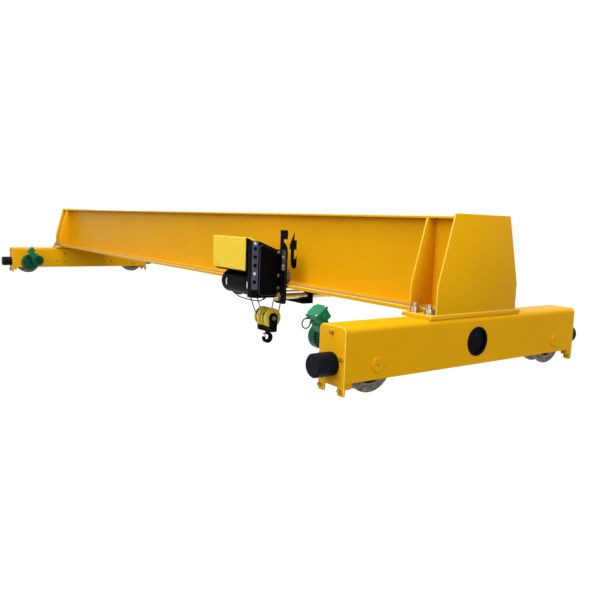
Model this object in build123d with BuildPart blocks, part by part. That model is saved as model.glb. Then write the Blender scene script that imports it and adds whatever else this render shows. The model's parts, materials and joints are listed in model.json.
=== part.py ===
"""Single-girder overhead bridge crane with a low-headroom wire rope hoist, in millimetres.

The origin is on the near runway rail, at the level of the rail head, under the middle of the near
end carriage. X runs along the girder, with the far rail at minus the span. The hoist hangs on the
front side, which faces minus Y. Z points up.
"""
import os
from math import acos, atan2, cos, hypot, pi, radians, sin, sqrt, tan

from build123d import *

os.makedirs("parts", exist_ok=True)

# Runway and end carriages
span = 7420
carriage_overhang = 218
carriage_width = 210
carriage_height = 280
carriage_lift = 58
carriage_plate = 8
carriage_bend_radius = 30
carriage_end_plate = 12
sweep_ear_width = 52
sweep_ear_drop = 11
sweep_ear_round = 12
wheel_slot_margin = 34
access_plug_radius = 86
access_plug_lift = 136
access_plug_proud = 5
access_plug_rim = 15
access_plug_depth = 30

# Running wheels
wheelbase = 1564
tread_radius = 135
tread_width = 64
flange_height = 23
flange_width = 18
flange_taper = 6
web_thickness = 36
rim_thickness = 26
hub_radius = 58
hub_length = 150
axle_radius = 30
axle_end_proud = 2
axle_cap_radius = 39
axle_cap_proud = 7
axle_cap_gap = 2
axle_cap_chamfer = 2

# Buffers
buffer_radius = 62
buffer_length = 122
buffer_lift = 84
buffer_round = 8

# Travel drives
gearbox_depth = 90
gearbox_wheel_radius = 110
gearbox_motor_radius = 88
gearbox_round = 12
gear_centres = 70
gear_turn = {"near": 8, "far": 55}
motor_radius = 62
motor_length = 160
motor_fin_height = 10
motor_fin_thickness = 4
motor_fin_count = 28
motor_band = 20
cowl_radius = 75
cowl_length = 65
cowl_round = 16
cowl_wall = 4
cowl_grille_radius = 50
terminal_tilt = 37
terminal_shift = 20
terminal_width = 96
terminal_length = 110
terminal_neck_width = 72
terminal_neck_length = 76
terminal_neck = 56
terminal_height = 56
terminal_lid = 14
terminal_lip = 6
lead_loop_radius = 28
lead_loop_turn = 30
lead_first_heading = 150
lead_x = -40
terminal_round = 10
terminal_from_cowl = 40
motor_lead_diameter = 7
bend_share = 0.45
gland_radius = 7
gland_length = 12

# Saddles and girder
saddle_length = 798
saddle_inboard = 125
saddle_outboard = 97
saddle_thickness = 25
bottom_flange_width = 704
bottom_flange_thickness = 25
top_flange_width = 486
top_flange_thickness = 14
web_height = 507
web_plate = 8
web_outside_width = 340
girder_end_overhang = 95
end_plate_thickness = 10
end_plate_rise = 16
end_plate_knuckle = 158
gusset_inset = 210
gusset_thickness = 10
bolt_notch_depth = 34

# Trolley
trolley_from_near_rail = 1715
trolley_length = 760
trolley_plate = 15
trolley_side_gap = 13
trolley_plate_rise = 252
trolley_belly_drop = 30
trolley_tongue_drop = 118
trolley_tongue_length = 140
trolley_corner = 25
back_plate_rise = 150
roller_radius = 55
roller_width = 40
roller_lip = 9
roller_lip_gap = 2
roller_lip_width = 7
roller_seat_gap = 0.3
roller_axle_radius = 16
roller_spread = 600
tie_radius = 22
tie_drop = 68
tie_inset = 65
tie_right_inset = 83
tie_nut_length = 22
tie_nut_radius = 34
tie_nut_sides = 6
guide_rod_radius = 8
guide_rod_rise = 44
guide_rod_offset = 52
anchor_beam_height = 38
anchor_width = 95
anchor_clamp_width = 40
anchor_wall = 12
anchor_out = 130

# Hoist
drum_axis_out = 110
drum_axis_lift = 12
drum_radius = 67
drum_flange_radius = 80
drum_flange_width = 8
drum_cover_radius = 90
drum_cover_wall = 4
drum_window_from = -60
drum_window_to = 15
drum_window_left = 25
drum_window_right = 80
drum_length = 398
drum_left_gap = 187
drum_bearing_plate = 12
drum_bracket_height = 130
housing_length = 102
housing_depth = 220
housing_top_front = 312
housing_top_back = 252
housing_bottom = 98
housing_chamfer = 34
housing_round = 18
housing_flat_front = 34
housing_flat_back = 25
housing_step_depth = 32
housing_step_height = 50
strip_thickness = 6
strip_width = 46
strip_hole_radius = 14
strip_hole_count = 5
strip_hole_pitch = 60
strip_margin = 54
strip_lift = 137
hoist_lead_diameter = 8
hoist_lead_left = 343
hoist_lead_rise = 10
hoist_gland_reach = 30
hoist_lead_span = 404
hoist_lead_depth = 25
hoist_lead_shares = ((0.035, 0.36), (0.15, 0.76), (0.31, 0.94))
box_length = 505
box_height = 243
box_depth = 220
box_lift = 89
box_gap_to_housing = 20
box_round = 8
box_flat_top = 34
box_back_height = 160
rope_radius = 5
rope_clearance = 0.3

# Hook block
hook_from_trolley_middle = 80
hook_out = 225
sheave_lift = 82
sheave_radius = 62
sheave_rim = 12
sheave_spacing = 104
sheave_width = 26
cover_radius = 77
cover_length = 62
cover_wall = 4
cover_chamfer = 7
cover_slot_width = 22
cover_front_slot = (130, 212)
cover_back_slot = (0, 50)
cheek_thickness = 9
cheek_width = 66
cheek_crown = 40
cheek_gap = 1
pin_radius = 18
pin_head = 8
crosshead_height = 34
crosshead_gap = 2

# Hook
shank_radius = 12
running_gap = 0.05
hook_bowl_radius = 21
hook_outer_radius = 44
hook_outer_back = 5
hook_outer_down = 4
hook_width = 26
hook_drop = 53
hook_neck_bottom = 22
hook_neck_start = 7
hook_tip_rise = 6
nut_radius = 16
nut_height = 16
nut_gap = 0.4
latch_pivot_out = 25
latch_pivot_up = 30
latch_end_out = 9
latch_end_up = 2
latch_lug_radius = 8
latch_lug_width = 8
latch_slot_reach = 20
latch_width = 16
latch_thickness = 4
latch_eye_radius = 6
latch_cheek = 3
latch_pin_radius = 4

# Worked out from the sizes above
carriage_length = wheelbase + 2 * carriage_overhang
carriage_top = carriage_lift + carriage_height
saddle_top = carriage_top + saddle_thickness
flange_top = saddle_top + bottom_flange_thickness
web_top = flange_top + web_height
girder_top = web_top + top_flange_thickness
end_plate_top = girder_top + end_plate_rise
end_plate_knee = saddle_top + end_plate_knuckle
axle_lift = tread_radius
flange_radius = tread_radius + flange_height
wheel_width = tread_width + 2 * flange_width
half_width = carriage_width / 2
axle_length = carriage_width + 2 * axle_end_proud
axle_above_floor = axle_lift - carriage_lift - carriage_plate
wheel_slot = 2 * (sqrt(flange_radius**2 - axle_above_floor**2) + wheel_slot_margin)
girder_length = span + 2 * (girder_end_overhang - end_plate_thickness)
girder_middle = -span / 2
girder_bottom = saddle_top
half_flange = bottom_flange_width / 2
half_top = top_flange_width / 2
half_web = web_outside_width / 2
buffer_axis = carriage_lift + buffer_lift
plate_inner = half_flange + trolley_side_gap
plate_outer = plate_inner + trolley_plate
trolley_middle = -trolley_from_near_rail
trolley_left = trolley_middle - trolley_length / 2
trolley_right = trolley_middle + trolley_length / 2
tie_z = girder_bottom - tie_drop
tie_xs = (trolley_left + tie_inset, trolley_right - tie_right_inset)
drum_y = -(plate_outer + drum_axis_out)
drum_z = girder_bottom + drum_axis_lift
drum_left = trolley_left + drum_left_gap
drum_right = drum_left + drum_length
plate_top = flange_top + trolley_plate_rise
roller_z = flange_top + roller_seat_gap + roller_radius
housing_left = drum_right
housing_right = housing_left + housing_length
housing_front = -(plate_outer + housing_depth)
box_right = housing_left - box_gap_to_housing
box_bottom = flange_top + box_lift
rope_on_drum = drum_radius + rope_radius + rope_clearance
hook_x = trolley_middle - hook_from_trolley_middle
hook_y = -hook_out
anchor_y = -anchor_out
block_half = sheave_spacing / 2 + cover_length / 2
sheave_xs = (hook_x - sheave_spacing / 2, hook_x + sheave_spacing / 2)
crosshead_top = sheave_lift - cover_radius - crosshead_gap
crosshead_bottom = crosshead_top - crosshead_height
bowl_z = crosshead_bottom - hook_drop
anchor_top = tie_z - tie_radius
anchor_bottom = anchor_top - anchor_beam_height
hoist_lead_start = housing_left - hoist_lead_left
hoist_lead_y = drum_y
hoist_lead_sag = [(across * hoist_lead_span, -down * hoist_lead_depth) for across, down in hoist_lead_shares]
hoist_lead_top = drum_z - drum_cover_radius - hoist_lead_rise
lead_tilt = hoist_lead_sag[0]
housing_bottom_z = flange_top - housing_bottom
carriages = (("near", 0, 1), ("far", -span, -1))


def save(builder, name):
    """Labels a finished piece and writes it to its own file."""
    builder.part.label = name
    export_step(builder.part, f"parts/{name}.step")


def end_plate_half_width(height):
    """Half the width of the girder's end plate at a height above its knee."""
    share = (end_plate_top - height) / (end_plate_top - end_plate_knee)
    return half_top + share * (half_flange - half_top)


# Girder: two flanges and two webs welded to a box, the bottom one notched round the saddle's bolts
with BuildPart() as top_flange:
    with Locations((girder_middle, 0, web_top + top_flange_thickness / 2)):
        Box(girder_length, top_flange_width, top_flange_thickness)
save(top_flange, "girder_top_flange")

with BuildPart() as bottom_flange:
    with Locations((girder_middle, 0, girder_bottom + bottom_flange_thickness / 2)):
        Box(girder_length, bottom_flange_width, bottom_flange_thickness)
    notch_length = gusset_inset - gusset_thickness - end_plate_thickness
    for place, rail_x, outward in carriages:
        notch_x = rail_x + outward * (girder_end_overhang - end_plate_thickness - notch_length / 2)
        notch_y = half_flange - bolt_notch_depth / 2
        notch_z = girder_bottom + bottom_flange_thickness / 2
        with Locations((notch_x, -notch_y, notch_z), (notch_x, notch_y, notch_z)):
            Box(notch_length, bolt_notch_depth, bottom_flange_thickness, mode=Mode.SUBTRACT)
save(bottom_flange, "girder_bottom_flange")

for side, toward in (("front", -1), ("back", 1)):
    with BuildPart() as web:
        with Locations((girder_middle, toward * (half_web - web_plate / 2), flange_top + web_height / 2)):
            Box(girder_length, web_plate, web_height)
    save(web, f"girder_{side}_web")

# Girder ends: a wide end plate on each saddle, with a pair of gussets inboard of it
with BuildPart() as girder_ends:
    for place, rail_x, outward in carriages:
        with BuildSketch(Plane.YZ.offset(rail_x + outward * girder_end_overhang)):
            with BuildLine():
                Polyline(
                    (-half_flange, saddle_top),
                    (half_flange, saddle_top),
                    (half_flange, end_plate_knee),
                    (half_top, end_plate_top),
                    (-half_top, end_plate_top),
                    (-half_flange, end_plate_knee),
                    close=True,
                )
            make_face()
        extrude(amount=-outward * end_plate_thickness)
save(girder_ends, "girder_end_plates")

with BuildPart() as gussets:
    for place, rail_x, outward in carriages:
        gusset_x = rail_x + outward * (girder_end_overhang - gusset_inset)
        with BuildSketch(Plane.YZ.offset(gusset_x)):
            with BuildLine():
                Polyline(
                    (-half_web, flange_top),
                    (-half_flange, flange_top),
                    (-half_flange, end_plate_knee),
                    (-end_plate_half_width(web_top), web_top),
                    (-half_web, web_top),
                    close=True,
                )
            make_face()
            mirror(about=Plane.YZ)
        extrude(amount=outward * gusset_thickness)
save(gussets, "girder_gussets")

# Saddle plates between the girder and the end carriages
with BuildPart() as saddles:
    for place, rail_x, outward in carriages:
        saddle_middle = rail_x + outward * (saddle_outboard - saddle_inboard) / 2
        with Locations((saddle_middle, 0, carriage_top + saddle_thickness / 2)):
            Box(saddle_inboard + saddle_outboard, saddle_length, saddle_thickness)
save(saddles, "saddle_plates")

# End carriages: a plate bent to an upturned channel, with floor plates between the wheels
channel_length = carriage_length - 2 * carriage_end_plate
for place, rail_x, outward in carriages:
    with BuildPart() as channel:
        with BuildSketch(Plane.XZ) as section:
            with Locations((rail_x, carriage_lift + carriage_height / 2)):
                Rectangle(carriage_width, carriage_height)
            fillet(section.vertices().group_by(Axis.Y)[-1], carriage_bend_radius)
            with BuildSketch(Plane.XY, mode=Mode.SUBTRACT) as hollow:
                with Locations((rail_x, carriage_lift + (carriage_height - carriage_plate) / 2)):
                    Rectangle(carriage_width - 2 * carriage_plate, carriage_height - carriage_plate)
                fillet(hollow.vertices().group_by(Axis.Y)[-1], carriage_bend_radius - carriage_plate)
        extrude(amount=channel_length / 2, both=True)
        with BuildSketch(Plane.YZ.offset(rail_x)):
            with Locations((-wheelbase / 2, axle_lift), (wheelbase / 2, axle_lift)):
                Circle(axle_radius + running_gap)
        extrude(amount=carriage_width, both=True, mode=Mode.SUBTRACT)
        with BuildSketch(Plane.YZ.offset(rail_x)):
            with Locations((0, carriage_lift + access_plug_lift)):
                Circle(access_plug_radius - access_plug_proud)
        extrude(amount=outward * carriage_width, mode=Mode.SUBTRACT)
    save(channel, f"{place}_carriage_channel")

with BuildPart() as floors:
    inner_width = carriage_width - 2 * carriage_plate
    bay = channel_length / 2 - (wheelbase + wheel_slot) / 2
    floor_z = carriage_lift + carriage_plate / 2
    for place, rail_x, outward in carriages:
        with Locations((rail_x, 0, floor_z)):
            Box(inner_width, wheelbase - wheel_slot, carriage_plate)
        for end in (-1, 1):
            with Locations((rail_x, end * (channel_length - bay) / 2, floor_z)):
                Box(inner_width, bay, carriage_plate)
save(floors, "carriage_floors")

with BuildPart() as end_plates:
    for place, rail_x, outward in carriages:
        with BuildSketch(Plane.XZ.offset(carriage_length / 2)) as outline:
            with Locations((rail_x, carriage_lift + carriage_height / 2)):
                Rectangle(carriage_width, carriage_height)
            fillet(outline.vertices().group_by(Axis.Y)[-1], carriage_bend_radius)
            ear_top = carriage_lift + sweep_ear_round
            ear_offset = (carriage_width - sweep_ear_width) / 2
            with Locations((rail_x - ear_offset, 0), (rail_x + ear_offset, 0)):
                with Locations((0, (ear_top - sweep_ear_drop) / 2)):
                    Rectangle(sweep_ear_width, ear_top + sweep_ear_drop)
            fillet(outline.vertices().group_by(Axis.Y)[0], sweep_ear_round)
        extrude(amount=-carriage_end_plate)
    mirror(about=Plane.XZ)
save(end_plates, "carriage_end_plates")

with BuildPart() as buffers:
    for place, rail_x, outward in carriages:
        with BuildSketch(Plane.XZ.offset(carriage_length / 2)):
            with Locations((rail_x, buffer_axis)):
                Circle(buffer_radius)
        extrude(amount=buffer_length)
    chamfer(buffers.faces().group_by(Axis.Y)[0].edges(), buffer_round)
    mirror(about=Plane.XZ)
save(buffers, "buffers")

with BuildPart() as plugs:
    for place, rail_x, outward in carriages:
        outer_side = rail_x + outward * half_width
        with BuildSketch(Plane.YZ.offset(outer_side)):
            with Locations((0, carriage_lift + access_plug_lift)):
                Circle(access_plug_radius)
                Circle(access_plug_radius - access_plug_rim, mode=Mode.SUBTRACT)
        extrude(amount=outward * access_plug_proud)
        with BuildSketch(Plane.YZ.offset(outer_side)):
            with Locations((0, carriage_lift + access_plug_lift)):
                Circle(access_plug_radius - access_plug_proud - running_gap)
        extrude(amount=-outward * access_plug_depth)
        with BuildSketch(Plane.YZ.offset(outer_side)):
            with Locations((0, carriage_lift + access_plug_lift)):
                Circle(access_plug_radius - access_plug_rim)
        extrude(amount=-outward * access_plug_proud, mode=Mode.SUBTRACT)
save(plugs, "access_plugs")

with BuildPart() as caps:
    for place, rail_x, outward in carriages:
        for y, sides in ((-wheelbase / 2, (1,)), (wheelbase / 2, (1, -1))):
            for facing in sides:
                face = rail_x + outward * facing * half_width
                with BuildSketch(Plane.YZ.offset(face)):
                    with Locations((y, axle_lift)):
                        Circle(axle_cap_radius)
                extrude(amount=outward * facing * axle_cap_proud)
                cap_face = caps.faces(Select.LAST).sort_by(Axis.X)[-1 if outward * facing > 0 else 0]
                chamfer(cap_face.edges(), axle_cap_chamfer)
                with BuildSketch(Plane.YZ.offset(face)):
                    with Locations((y, axle_lift)):
                        Circle(axle_radius + rope_clearance)
                extrude(amount=outward * facing * (axle_end_proud + axle_cap_gap), mode=Mode.SUBTRACT)
save(caps, "axle_caps")

# Running wheels: double-flanged, dished between hub and rim, each on its own axle
for place, rail_x, outward in carriages:
    for end, y in (("front", -wheelbase / 2), ("back", wheelbase / 2)):
        wheel_axis = Axis((rail_x, y, axle_lift), (1, 0, 0))
        with BuildPart() as wheel:
            with BuildSketch(Plane((rail_x, y, axle_lift), x_dir=(1, 0, 0), z_dir=(0, -1, 0))):
                with BuildLine():
                    Polyline(
                        (-axle_length / 2, 0),
                        (-axle_length / 2, axle_radius),
                        (-hub_length / 2, axle_radius),
                        (-hub_length / 2, hub_radius),
                        (-web_thickness / 2, hub_radius),
                        (-web_thickness / 2, tread_radius - rim_thickness),
                        (-wheel_width / 2, tread_radius - rim_thickness),
                        (-wheel_width / 2, flange_radius),
                        (-wheel_width / 2 + flange_width - flange_taper, flange_radius),
                        (-tread_width / 2, tread_radius),
                        (tread_width / 2, tread_radius),
                        (wheel_width / 2 - flange_width + flange_taper, flange_radius),
                        (wheel_width / 2, flange_radius),
                        (wheel_width / 2, tread_radius - rim_thickness),
                        (web_thickness / 2, tread_radius - rim_thickness),
                        (web_thickness / 2, hub_radius),
                        (hub_length / 2, hub_radius),
                        (hub_length / 2, axle_radius),
                        (axle_length / 2, axle_radius),
                        (axle_length / 2, 0),
                        close=True,
                    )
                make_face()
            revolve(axis=wheel_axis)
        save(wheel, f"{place}_{end}_wheel")

# Travel drives on the inner side of each carriage's front wheel
gearbox_start = half_width
motor_start = gearbox_start + gearbox_depth
cowl_start = motor_start + motor_length
terminal_direction = Vector(0, -sin(radians(terminal_tilt)), cos(radians(terminal_tilt)))
lead_corner_reach = lead_loop_radius / cos(radians(lead_loop_turn / 2))
lead_mouth = lead_first_heading - 90 - lead_loop_turn // 2
terminal_front = terminal_shift - terminal_width / 2 + terminal_lip
lead_middle = terminal_front - gland_length - lead_corner_reach * cos(radians(lead_mouth))
lead_height = terminal_neck + terminal_height / 2
seats = {}
for place, rail_x, outward in carriages:
    inward = -outward
    motor_y = -wheelbase / 2 + gear_centres * sin(radians(gear_turn[place]))
    motor_z = axle_lift + gear_centres * cos(radians(gear_turn[place]))
    with BuildPart() as gearbox:
        with BuildSketch(Plane.YZ.offset(rail_x + inward * gearbox_start)):
            with Locations((-wheelbase / 2, axle_lift)):
                Circle(gearbox_wheel_radius)
            with Locations((motor_y, motor_z)):
                Circle(gearbox_motor_radius)
            make_hull()
        extrude(amount=inward * gearbox_depth)
        far_face = gearbox.faces().sort_by(Axis.X)[0 if inward < 0 else -1]
        fillet(far_face.edges(), gearbox_round)
        with BuildSketch(Plane.YZ.offset(rail_x + inward * gearbox_start)):
            with Locations((-wheelbase / 2, axle_lift)):
                Circle(axle_radius + rope_clearance)
        extrude(amount=inward * (axle_end_proud + axle_cap_gap), mode=Mode.SUBTRACT)
    save(gearbox, f"{place}_drive_gearbox")

    seat_middle = Vector(rail_x + inward * (cowl_start - terminal_from_cowl), motor_y, motor_z)
    seat_origin = seat_middle + terminal_direction * motor_radius
    seats[place] = Plane(seat_origin, x_dir=(1, 0, 0), z_dir=terminal_direction)
    with BuildPart() as motor:
        with BuildSketch(Plane.YZ.offset(rail_x + inward * motor_start)):
            with Locations((motor_y, motor_z)):
                Circle(motor_radius)
        extrude(amount=inward * motor_length)
        with BuildSketch(Plane.YZ.offset(rail_x + inward * motor_start)):
            with Locations((motor_y, motor_z)):
                Circle(motor_radius + motor_fin_height)
        extrude(amount=inward * motor_band)
        with BuildSketch(Plane.YZ.offset(rail_x + inward * (motor_start + motor_band))):
            with Locations((motor_y, motor_z)):
                with PolarLocations(motor_radius + motor_fin_height / 2, motor_fin_count):
                    Rectangle(motor_fin_height + motor_fin_thickness, motor_fin_thickness)
        extrude(amount=inward * (motor_length - motor_band))
        with BuildSketch(seats[place]):
            Rectangle(terminal_neck_length, terminal_neck_width)
        extrude(amount=motor_radius, mode=Mode.SUBTRACT)
    save(motor, f"{place}_drive_motor")

    with BuildPart() as cowl:
        with BuildSketch(Plane.YZ.offset(rail_x + inward * cowl_start)):
            with Locations((motor_y, motor_z)):
                Circle(cowl_radius)
        extrude(amount=inward * cowl_length)
        cowl_end = cowl.faces().sort_by(Axis.X)[0 if inward < 0 else -1]
        fillet(cowl_end.edges(), cowl_round)
        with BuildSketch(Plane.YZ.offset(rail_x + inward * (cowl_start + cowl_length))):
            with Locations((motor_y, motor_z)):
                Circle(cowl_grille_radius)
        extrude(amount=-inward * cowl_wall, mode=Mode.SUBTRACT)
    save(cowl, f"{place}_drive_fan_cowl")

    with BuildPart() as terminal:
        with BuildSketch(seats[place]):
            RectangleRounded(terminal_neck_length, terminal_neck_width, terminal_round)
        extrude(amount=terminal_neck)
        box_seat = seats[place].offset(terminal_neck)
        with BuildSketch(box_seat):
            with Locations((0, terminal_shift)):
                body_length = terminal_length - 2 * terminal_lip
                body_width = terminal_width - 2 * terminal_lip
                RectangleRounded(body_length, body_width, terminal_round)
        extrude(amount=terminal_height)
        with BuildSketch(box_seat.offset(terminal_height)):
            with Locations((0, terminal_shift)):
                RectangleRounded(terminal_length, terminal_width, terminal_round)
        extrude(amount=terminal_lid)
        top_face = terminal.faces().sort_by(Axis((0, 0, 0), terminal_direction))[-1]
        chamfer(top_face.edges(), terminal_lip / 2)
        if place == "near":
            for upper in (1, -1):
                gland_y = lead_middle + lead_corner_reach * cos(radians(lead_mouth))
                gland_z = lead_height + upper * lead_corner_reach * sin(radians(lead_mouth))
                gland_point = seats[place].from_local_coords((lead_x, gland_y, gland_z))
                slope = upper * radians(lead_first_heading)
                inside = seats[place].y_dir * -cos(slope) + terminal_direction * -sin(slope)
                with BuildSketch(Plane(gland_point, z_dir=inside)):
                    Circle(gland_radius)
                extrude(amount=2 * gland_length)
    save(terminal, f"{place}_drive_terminal_box")

# The near motor's lead: a loop out of the terminal box's front and back into it
lead_seat = seats["near"]
lead_plane = Plane(
    lead_seat.from_local_coords((lead_x, lead_middle, lead_height)), x_dir=lead_seat.y_dir, z_dir=(1, 0, 0)
)
loop_route = [
    (lead_corner_reach * cos(radians(angle)), lead_corner_reach * sin(radians(angle)))
    for angle in range(lead_mouth, 361 - lead_mouth, lead_loop_turn)
]


def bend_radii(route):
    """Radius of the arc at each inner corner of a cord's route."""
    radii = []
    for before, corner, after in zip(route, route[1:], route[2:]):
        first_run = hypot(corner[0] - before[0], corner[1] - before[1])
        next_run = hypot(after[0] - corner[0], after[1] - corner[1])
        heading = atan2(corner[1] - before[1], corner[0] - before[0])
        next_heading = atan2(after[1] - corner[1], after[0] - corner[0])
        turn = acos(cos(next_heading - heading))
        radii.append(bend_share * min(first_run, next_run) / tan(turn / 2))
    return radii


def report_cord(name, piece, radii, length, diameter):
    """Prints a cord's bends, and its volume beside section times length."""
    section = pi * diameter**2 / 4
    print(name, "radii", [round(radius, 1) for radius in radii], "length", round(length, 1))
    print(name, "volume", round(piece.volume), "section times length", round(section * length))


def cord(plane, route, diameter, name):
    """Sweeps a round cord along a route drawn on a plane, and saves it."""
    radii = bend_radii(route)
    with BuildPart() as piece:
        with BuildLine(plane) as path:
            FilletPolyline(*route, radius=radii)
        with BuildSketch(Plane(path.line @ 0, z_dir=path.line % 0)):
            Circle(diameter / 2)
        sweep()
    report_cord(name, piece.part, radii, path.wires()[0].length, diameter)
    save(piece, name)


cord(lead_plane, loop_route, motor_lead_diameter, "near_motor_lead")

# Trolley: side plates with rollers on the bottom flange, tied together under the girder
with BuildPart() as front_plate:
    with BuildSketch(Plane.XZ.offset(plate_inner)) as outline:
        with BuildLine():
            belly = girder_bottom - trolley_belly_drop
            tongue = girder_bottom - trolley_tongue_drop
            Polyline(
                (trolley_left, plate_top),
                (trolley_left, tongue),
                (trolley_left + trolley_tongue_length, tongue),
                (trolley_left + trolley_tongue_length, belly),
                (trolley_right - trolley_tongue_length, belly),
                (trolley_right - trolley_tongue_length, tongue),
                (trolley_right, tongue),
                (trolley_right, plate_top),
                close=True,
            )
        make_face()
        fillet(outline.vertices(), trolley_corner)
        with Locations(*((x, tie_z) for x in tie_xs)):
            Circle(tie_radius + running_gap, mode=Mode.SUBTRACT)
    extrude(amount=trolley_plate)
save(front_plate, "trolley_front_plate")

with BuildPart() as back_plate:
    with BuildSketch(Plane.XZ.offset(-plate_inner)) as outline:
        with BuildLine():
            Polyline(
                (trolley_left, flange_top + back_plate_rise),
                (trolley_left, tongue),
                (trolley_right, tongue),
                (trolley_right, flange_top + back_plate_rise),
                close=True,
            )
        make_face()
        fillet(outline.vertices(), trolley_corner)
        with Locations(*((x, tie_z) for x in tie_xs)):
            Circle(tie_radius + running_gap, mode=Mode.SUBTRACT)
    extrude(amount=-trolley_plate)
save(back_plate, "trolley_back_plate")

with BuildPart() as rollers:
    for x in (trolley_middle - roller_spread / 2, trolley_middle + roller_spread / 2):
        with BuildSketch(Plane((x, 0, roller_z), x_dir=(0, 1, 0), z_dir=(1, 0, 0))):
            with BuildLine():
                lip_inner = half_flange + roller_lip_gap
                lip_outer = lip_inner + roller_lip_width
                Polyline(
                    (lip_inner - roller_width, 0),
                    (lip_inner - roller_width, roller_radius),
                    (lip_inner, roller_radius),
                    (lip_inner, roller_radius + roller_lip),
                    (lip_outer, roller_radius + roller_lip),
                    (lip_outer, roller_axle_radius),
                    (plate_inner, roller_axle_radius),
                    (plate_inner, 0),
                    close=True,
                )
            make_face()
        revolve(axis=Axis((x, 0, roller_z), (0, 1, 0)))
    mirror(about=Plane.XZ)
save(rollers, "trolley_wheels")

with BuildPart() as tie_bars:
    for x in tie_xs:
        with BuildSketch(Plane.XZ):
            with Locations((x, tie_z)):
                Circle(tie_radius)
        extrude(amount=plate_outer + tie_nut_length, both=True)
        for side in (-1, 1):
            with BuildSketch(Plane.XZ.offset(-side * plate_outer)):
                with Locations((x, tie_z)):
                    RegularPolygon(tie_nut_radius, tie_nut_sides)
            extrude(amount=-side * tie_nut_length)
        with BuildSketch(Plane.XZ):
            with Locations((x + guide_rod_offset, tie_z + guide_rod_rise)):
                Circle(guide_rod_radius)
        extrude(amount=plate_inner, both=True)
save(tie_bars, "trolley_tie_bars")

with BuildPart() as anchor_beam:
    clamp_half = tie_radius + anchor_wall
    with Locations((sum(tie_xs) / 2, anchor_y, (anchor_top + anchor_bottom) / 2)):
        Box(tie_xs[1] - tie_xs[0] + 2 * clamp_half, anchor_width, anchor_beam_height)
    for x in tie_xs:
        clamp_y = anchor_y + (anchor_width - anchor_clamp_width) / 2
        with Locations((x, clamp_y, (anchor_bottom + tie_z + clamp_half) / 2)):
            Box(2 * clamp_half, anchor_clamp_width, tie_z + clamp_half - anchor_bottom)
    with BuildSketch(Plane.XZ.offset(-anchor_y)):
        with Locations(*((x, tie_z) for x in tie_xs)):
            Circle(tie_radius + running_gap)
    extrude(amount=anchor_width, both=True, mode=Mode.SUBTRACT)
save(anchor_beam, "rope_anchor_beam")

# Hoist: electrical box above the rope drum, gear housing at the drum's right end
with BuildPart() as electrical_box:
    with BuildSketch(Plane.YZ.offset(box_right - box_length)):
        with BuildLine():
            Polyline(
                (-plate_outer, box_bottom),
                (-plate_outer - box_depth, box_bottom),
                (-plate_outer - box_depth, box_bottom + box_height),
                (-plate_outer - box_depth + box_flat_top, box_bottom + box_height),
                (-plate_outer, box_bottom + box_back_height),
                close=True,
            )
        make_face()
    extrude(amount=box_length)
    fillet(electrical_box.faces().sort_by(Axis.Y)[0].edges(), box_round)
save(electrical_box, "hoist_electrical_box")

with BuildPart() as drum_cover:
    with BuildSketch(Plane.YZ.offset(drum_left)):
        with Locations((drum_y, drum_z)):
            Circle(drum_cover_radius)
            Circle(drum_cover_radius - drum_cover_wall, mode=Mode.SUBTRACT)
    extrude(amount=drum_length)
    with BuildSketch(Plane.YZ.offset(drum_left + drum_window_left)):
        with BuildLine():
            window_reach = 2 * drum_cover_radius
            window_sweep = drum_window_to - drum_window_from
            window_rim = [
                (drum_y + window_reach * cos(angle), drum_z + window_reach * sin(angle))
                for angle in (radians(drum_window_from + window_sweep * share) for share in (0, 0.5, 1))
            ]
            Polyline((drum_y, drum_z), *window_rim, close=True)
        make_face()
    extrude(amount=hook_x + drum_window_right - drum_left - drum_window_left, mode=Mode.SUBTRACT)
    with BuildSketch(Plane.YZ.offset(drum_left)):
        with Locations((drum_y, drum_z)):
            Circle(drum_cover_radius)
        with Locations((-plate_outer - running_gap, drum_z)):
            Rectangle(2 * running_gap, drum_bracket_height)
        make_hull()
    extrude(amount=-drum_bearing_plate)
    lead_begin = (hoist_lead_start, hoist_lead_y, hoist_lead_top)
    with BuildSketch(Plane(lead_begin, z_dir=(-lead_tilt[0], 0, -lead_tilt[1]))):
        Circle(gland_radius)
    extrude(amount=hoist_gland_reach)
    with BuildSketch(Plane.YZ.offset(drum_left)):
        with Locations((drum_y, drum_z)):
            Circle(drum_cover_radius - drum_cover_wall)
    extrude(amount=drum_length, mode=Mode.SUBTRACT)
save(drum_cover, "hoist_drum_cover")

with BuildPart() as rope_drum:
    with BuildSketch(Plane.YZ.offset(drum_left)):
        with Locations((drum_y, drum_z)):
            Circle(drum_radius)
    extrude(amount=drum_length)
    for start in (drum_left, drum_right - drum_flange_width):
        with BuildSketch(Plane.YZ.offset(start)):
            with Locations((drum_y, drum_z)):
                Circle(drum_flange_radius)
        extrude(amount=drum_flange_width)
save(rope_drum, "hoist_rope_drum")

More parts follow.
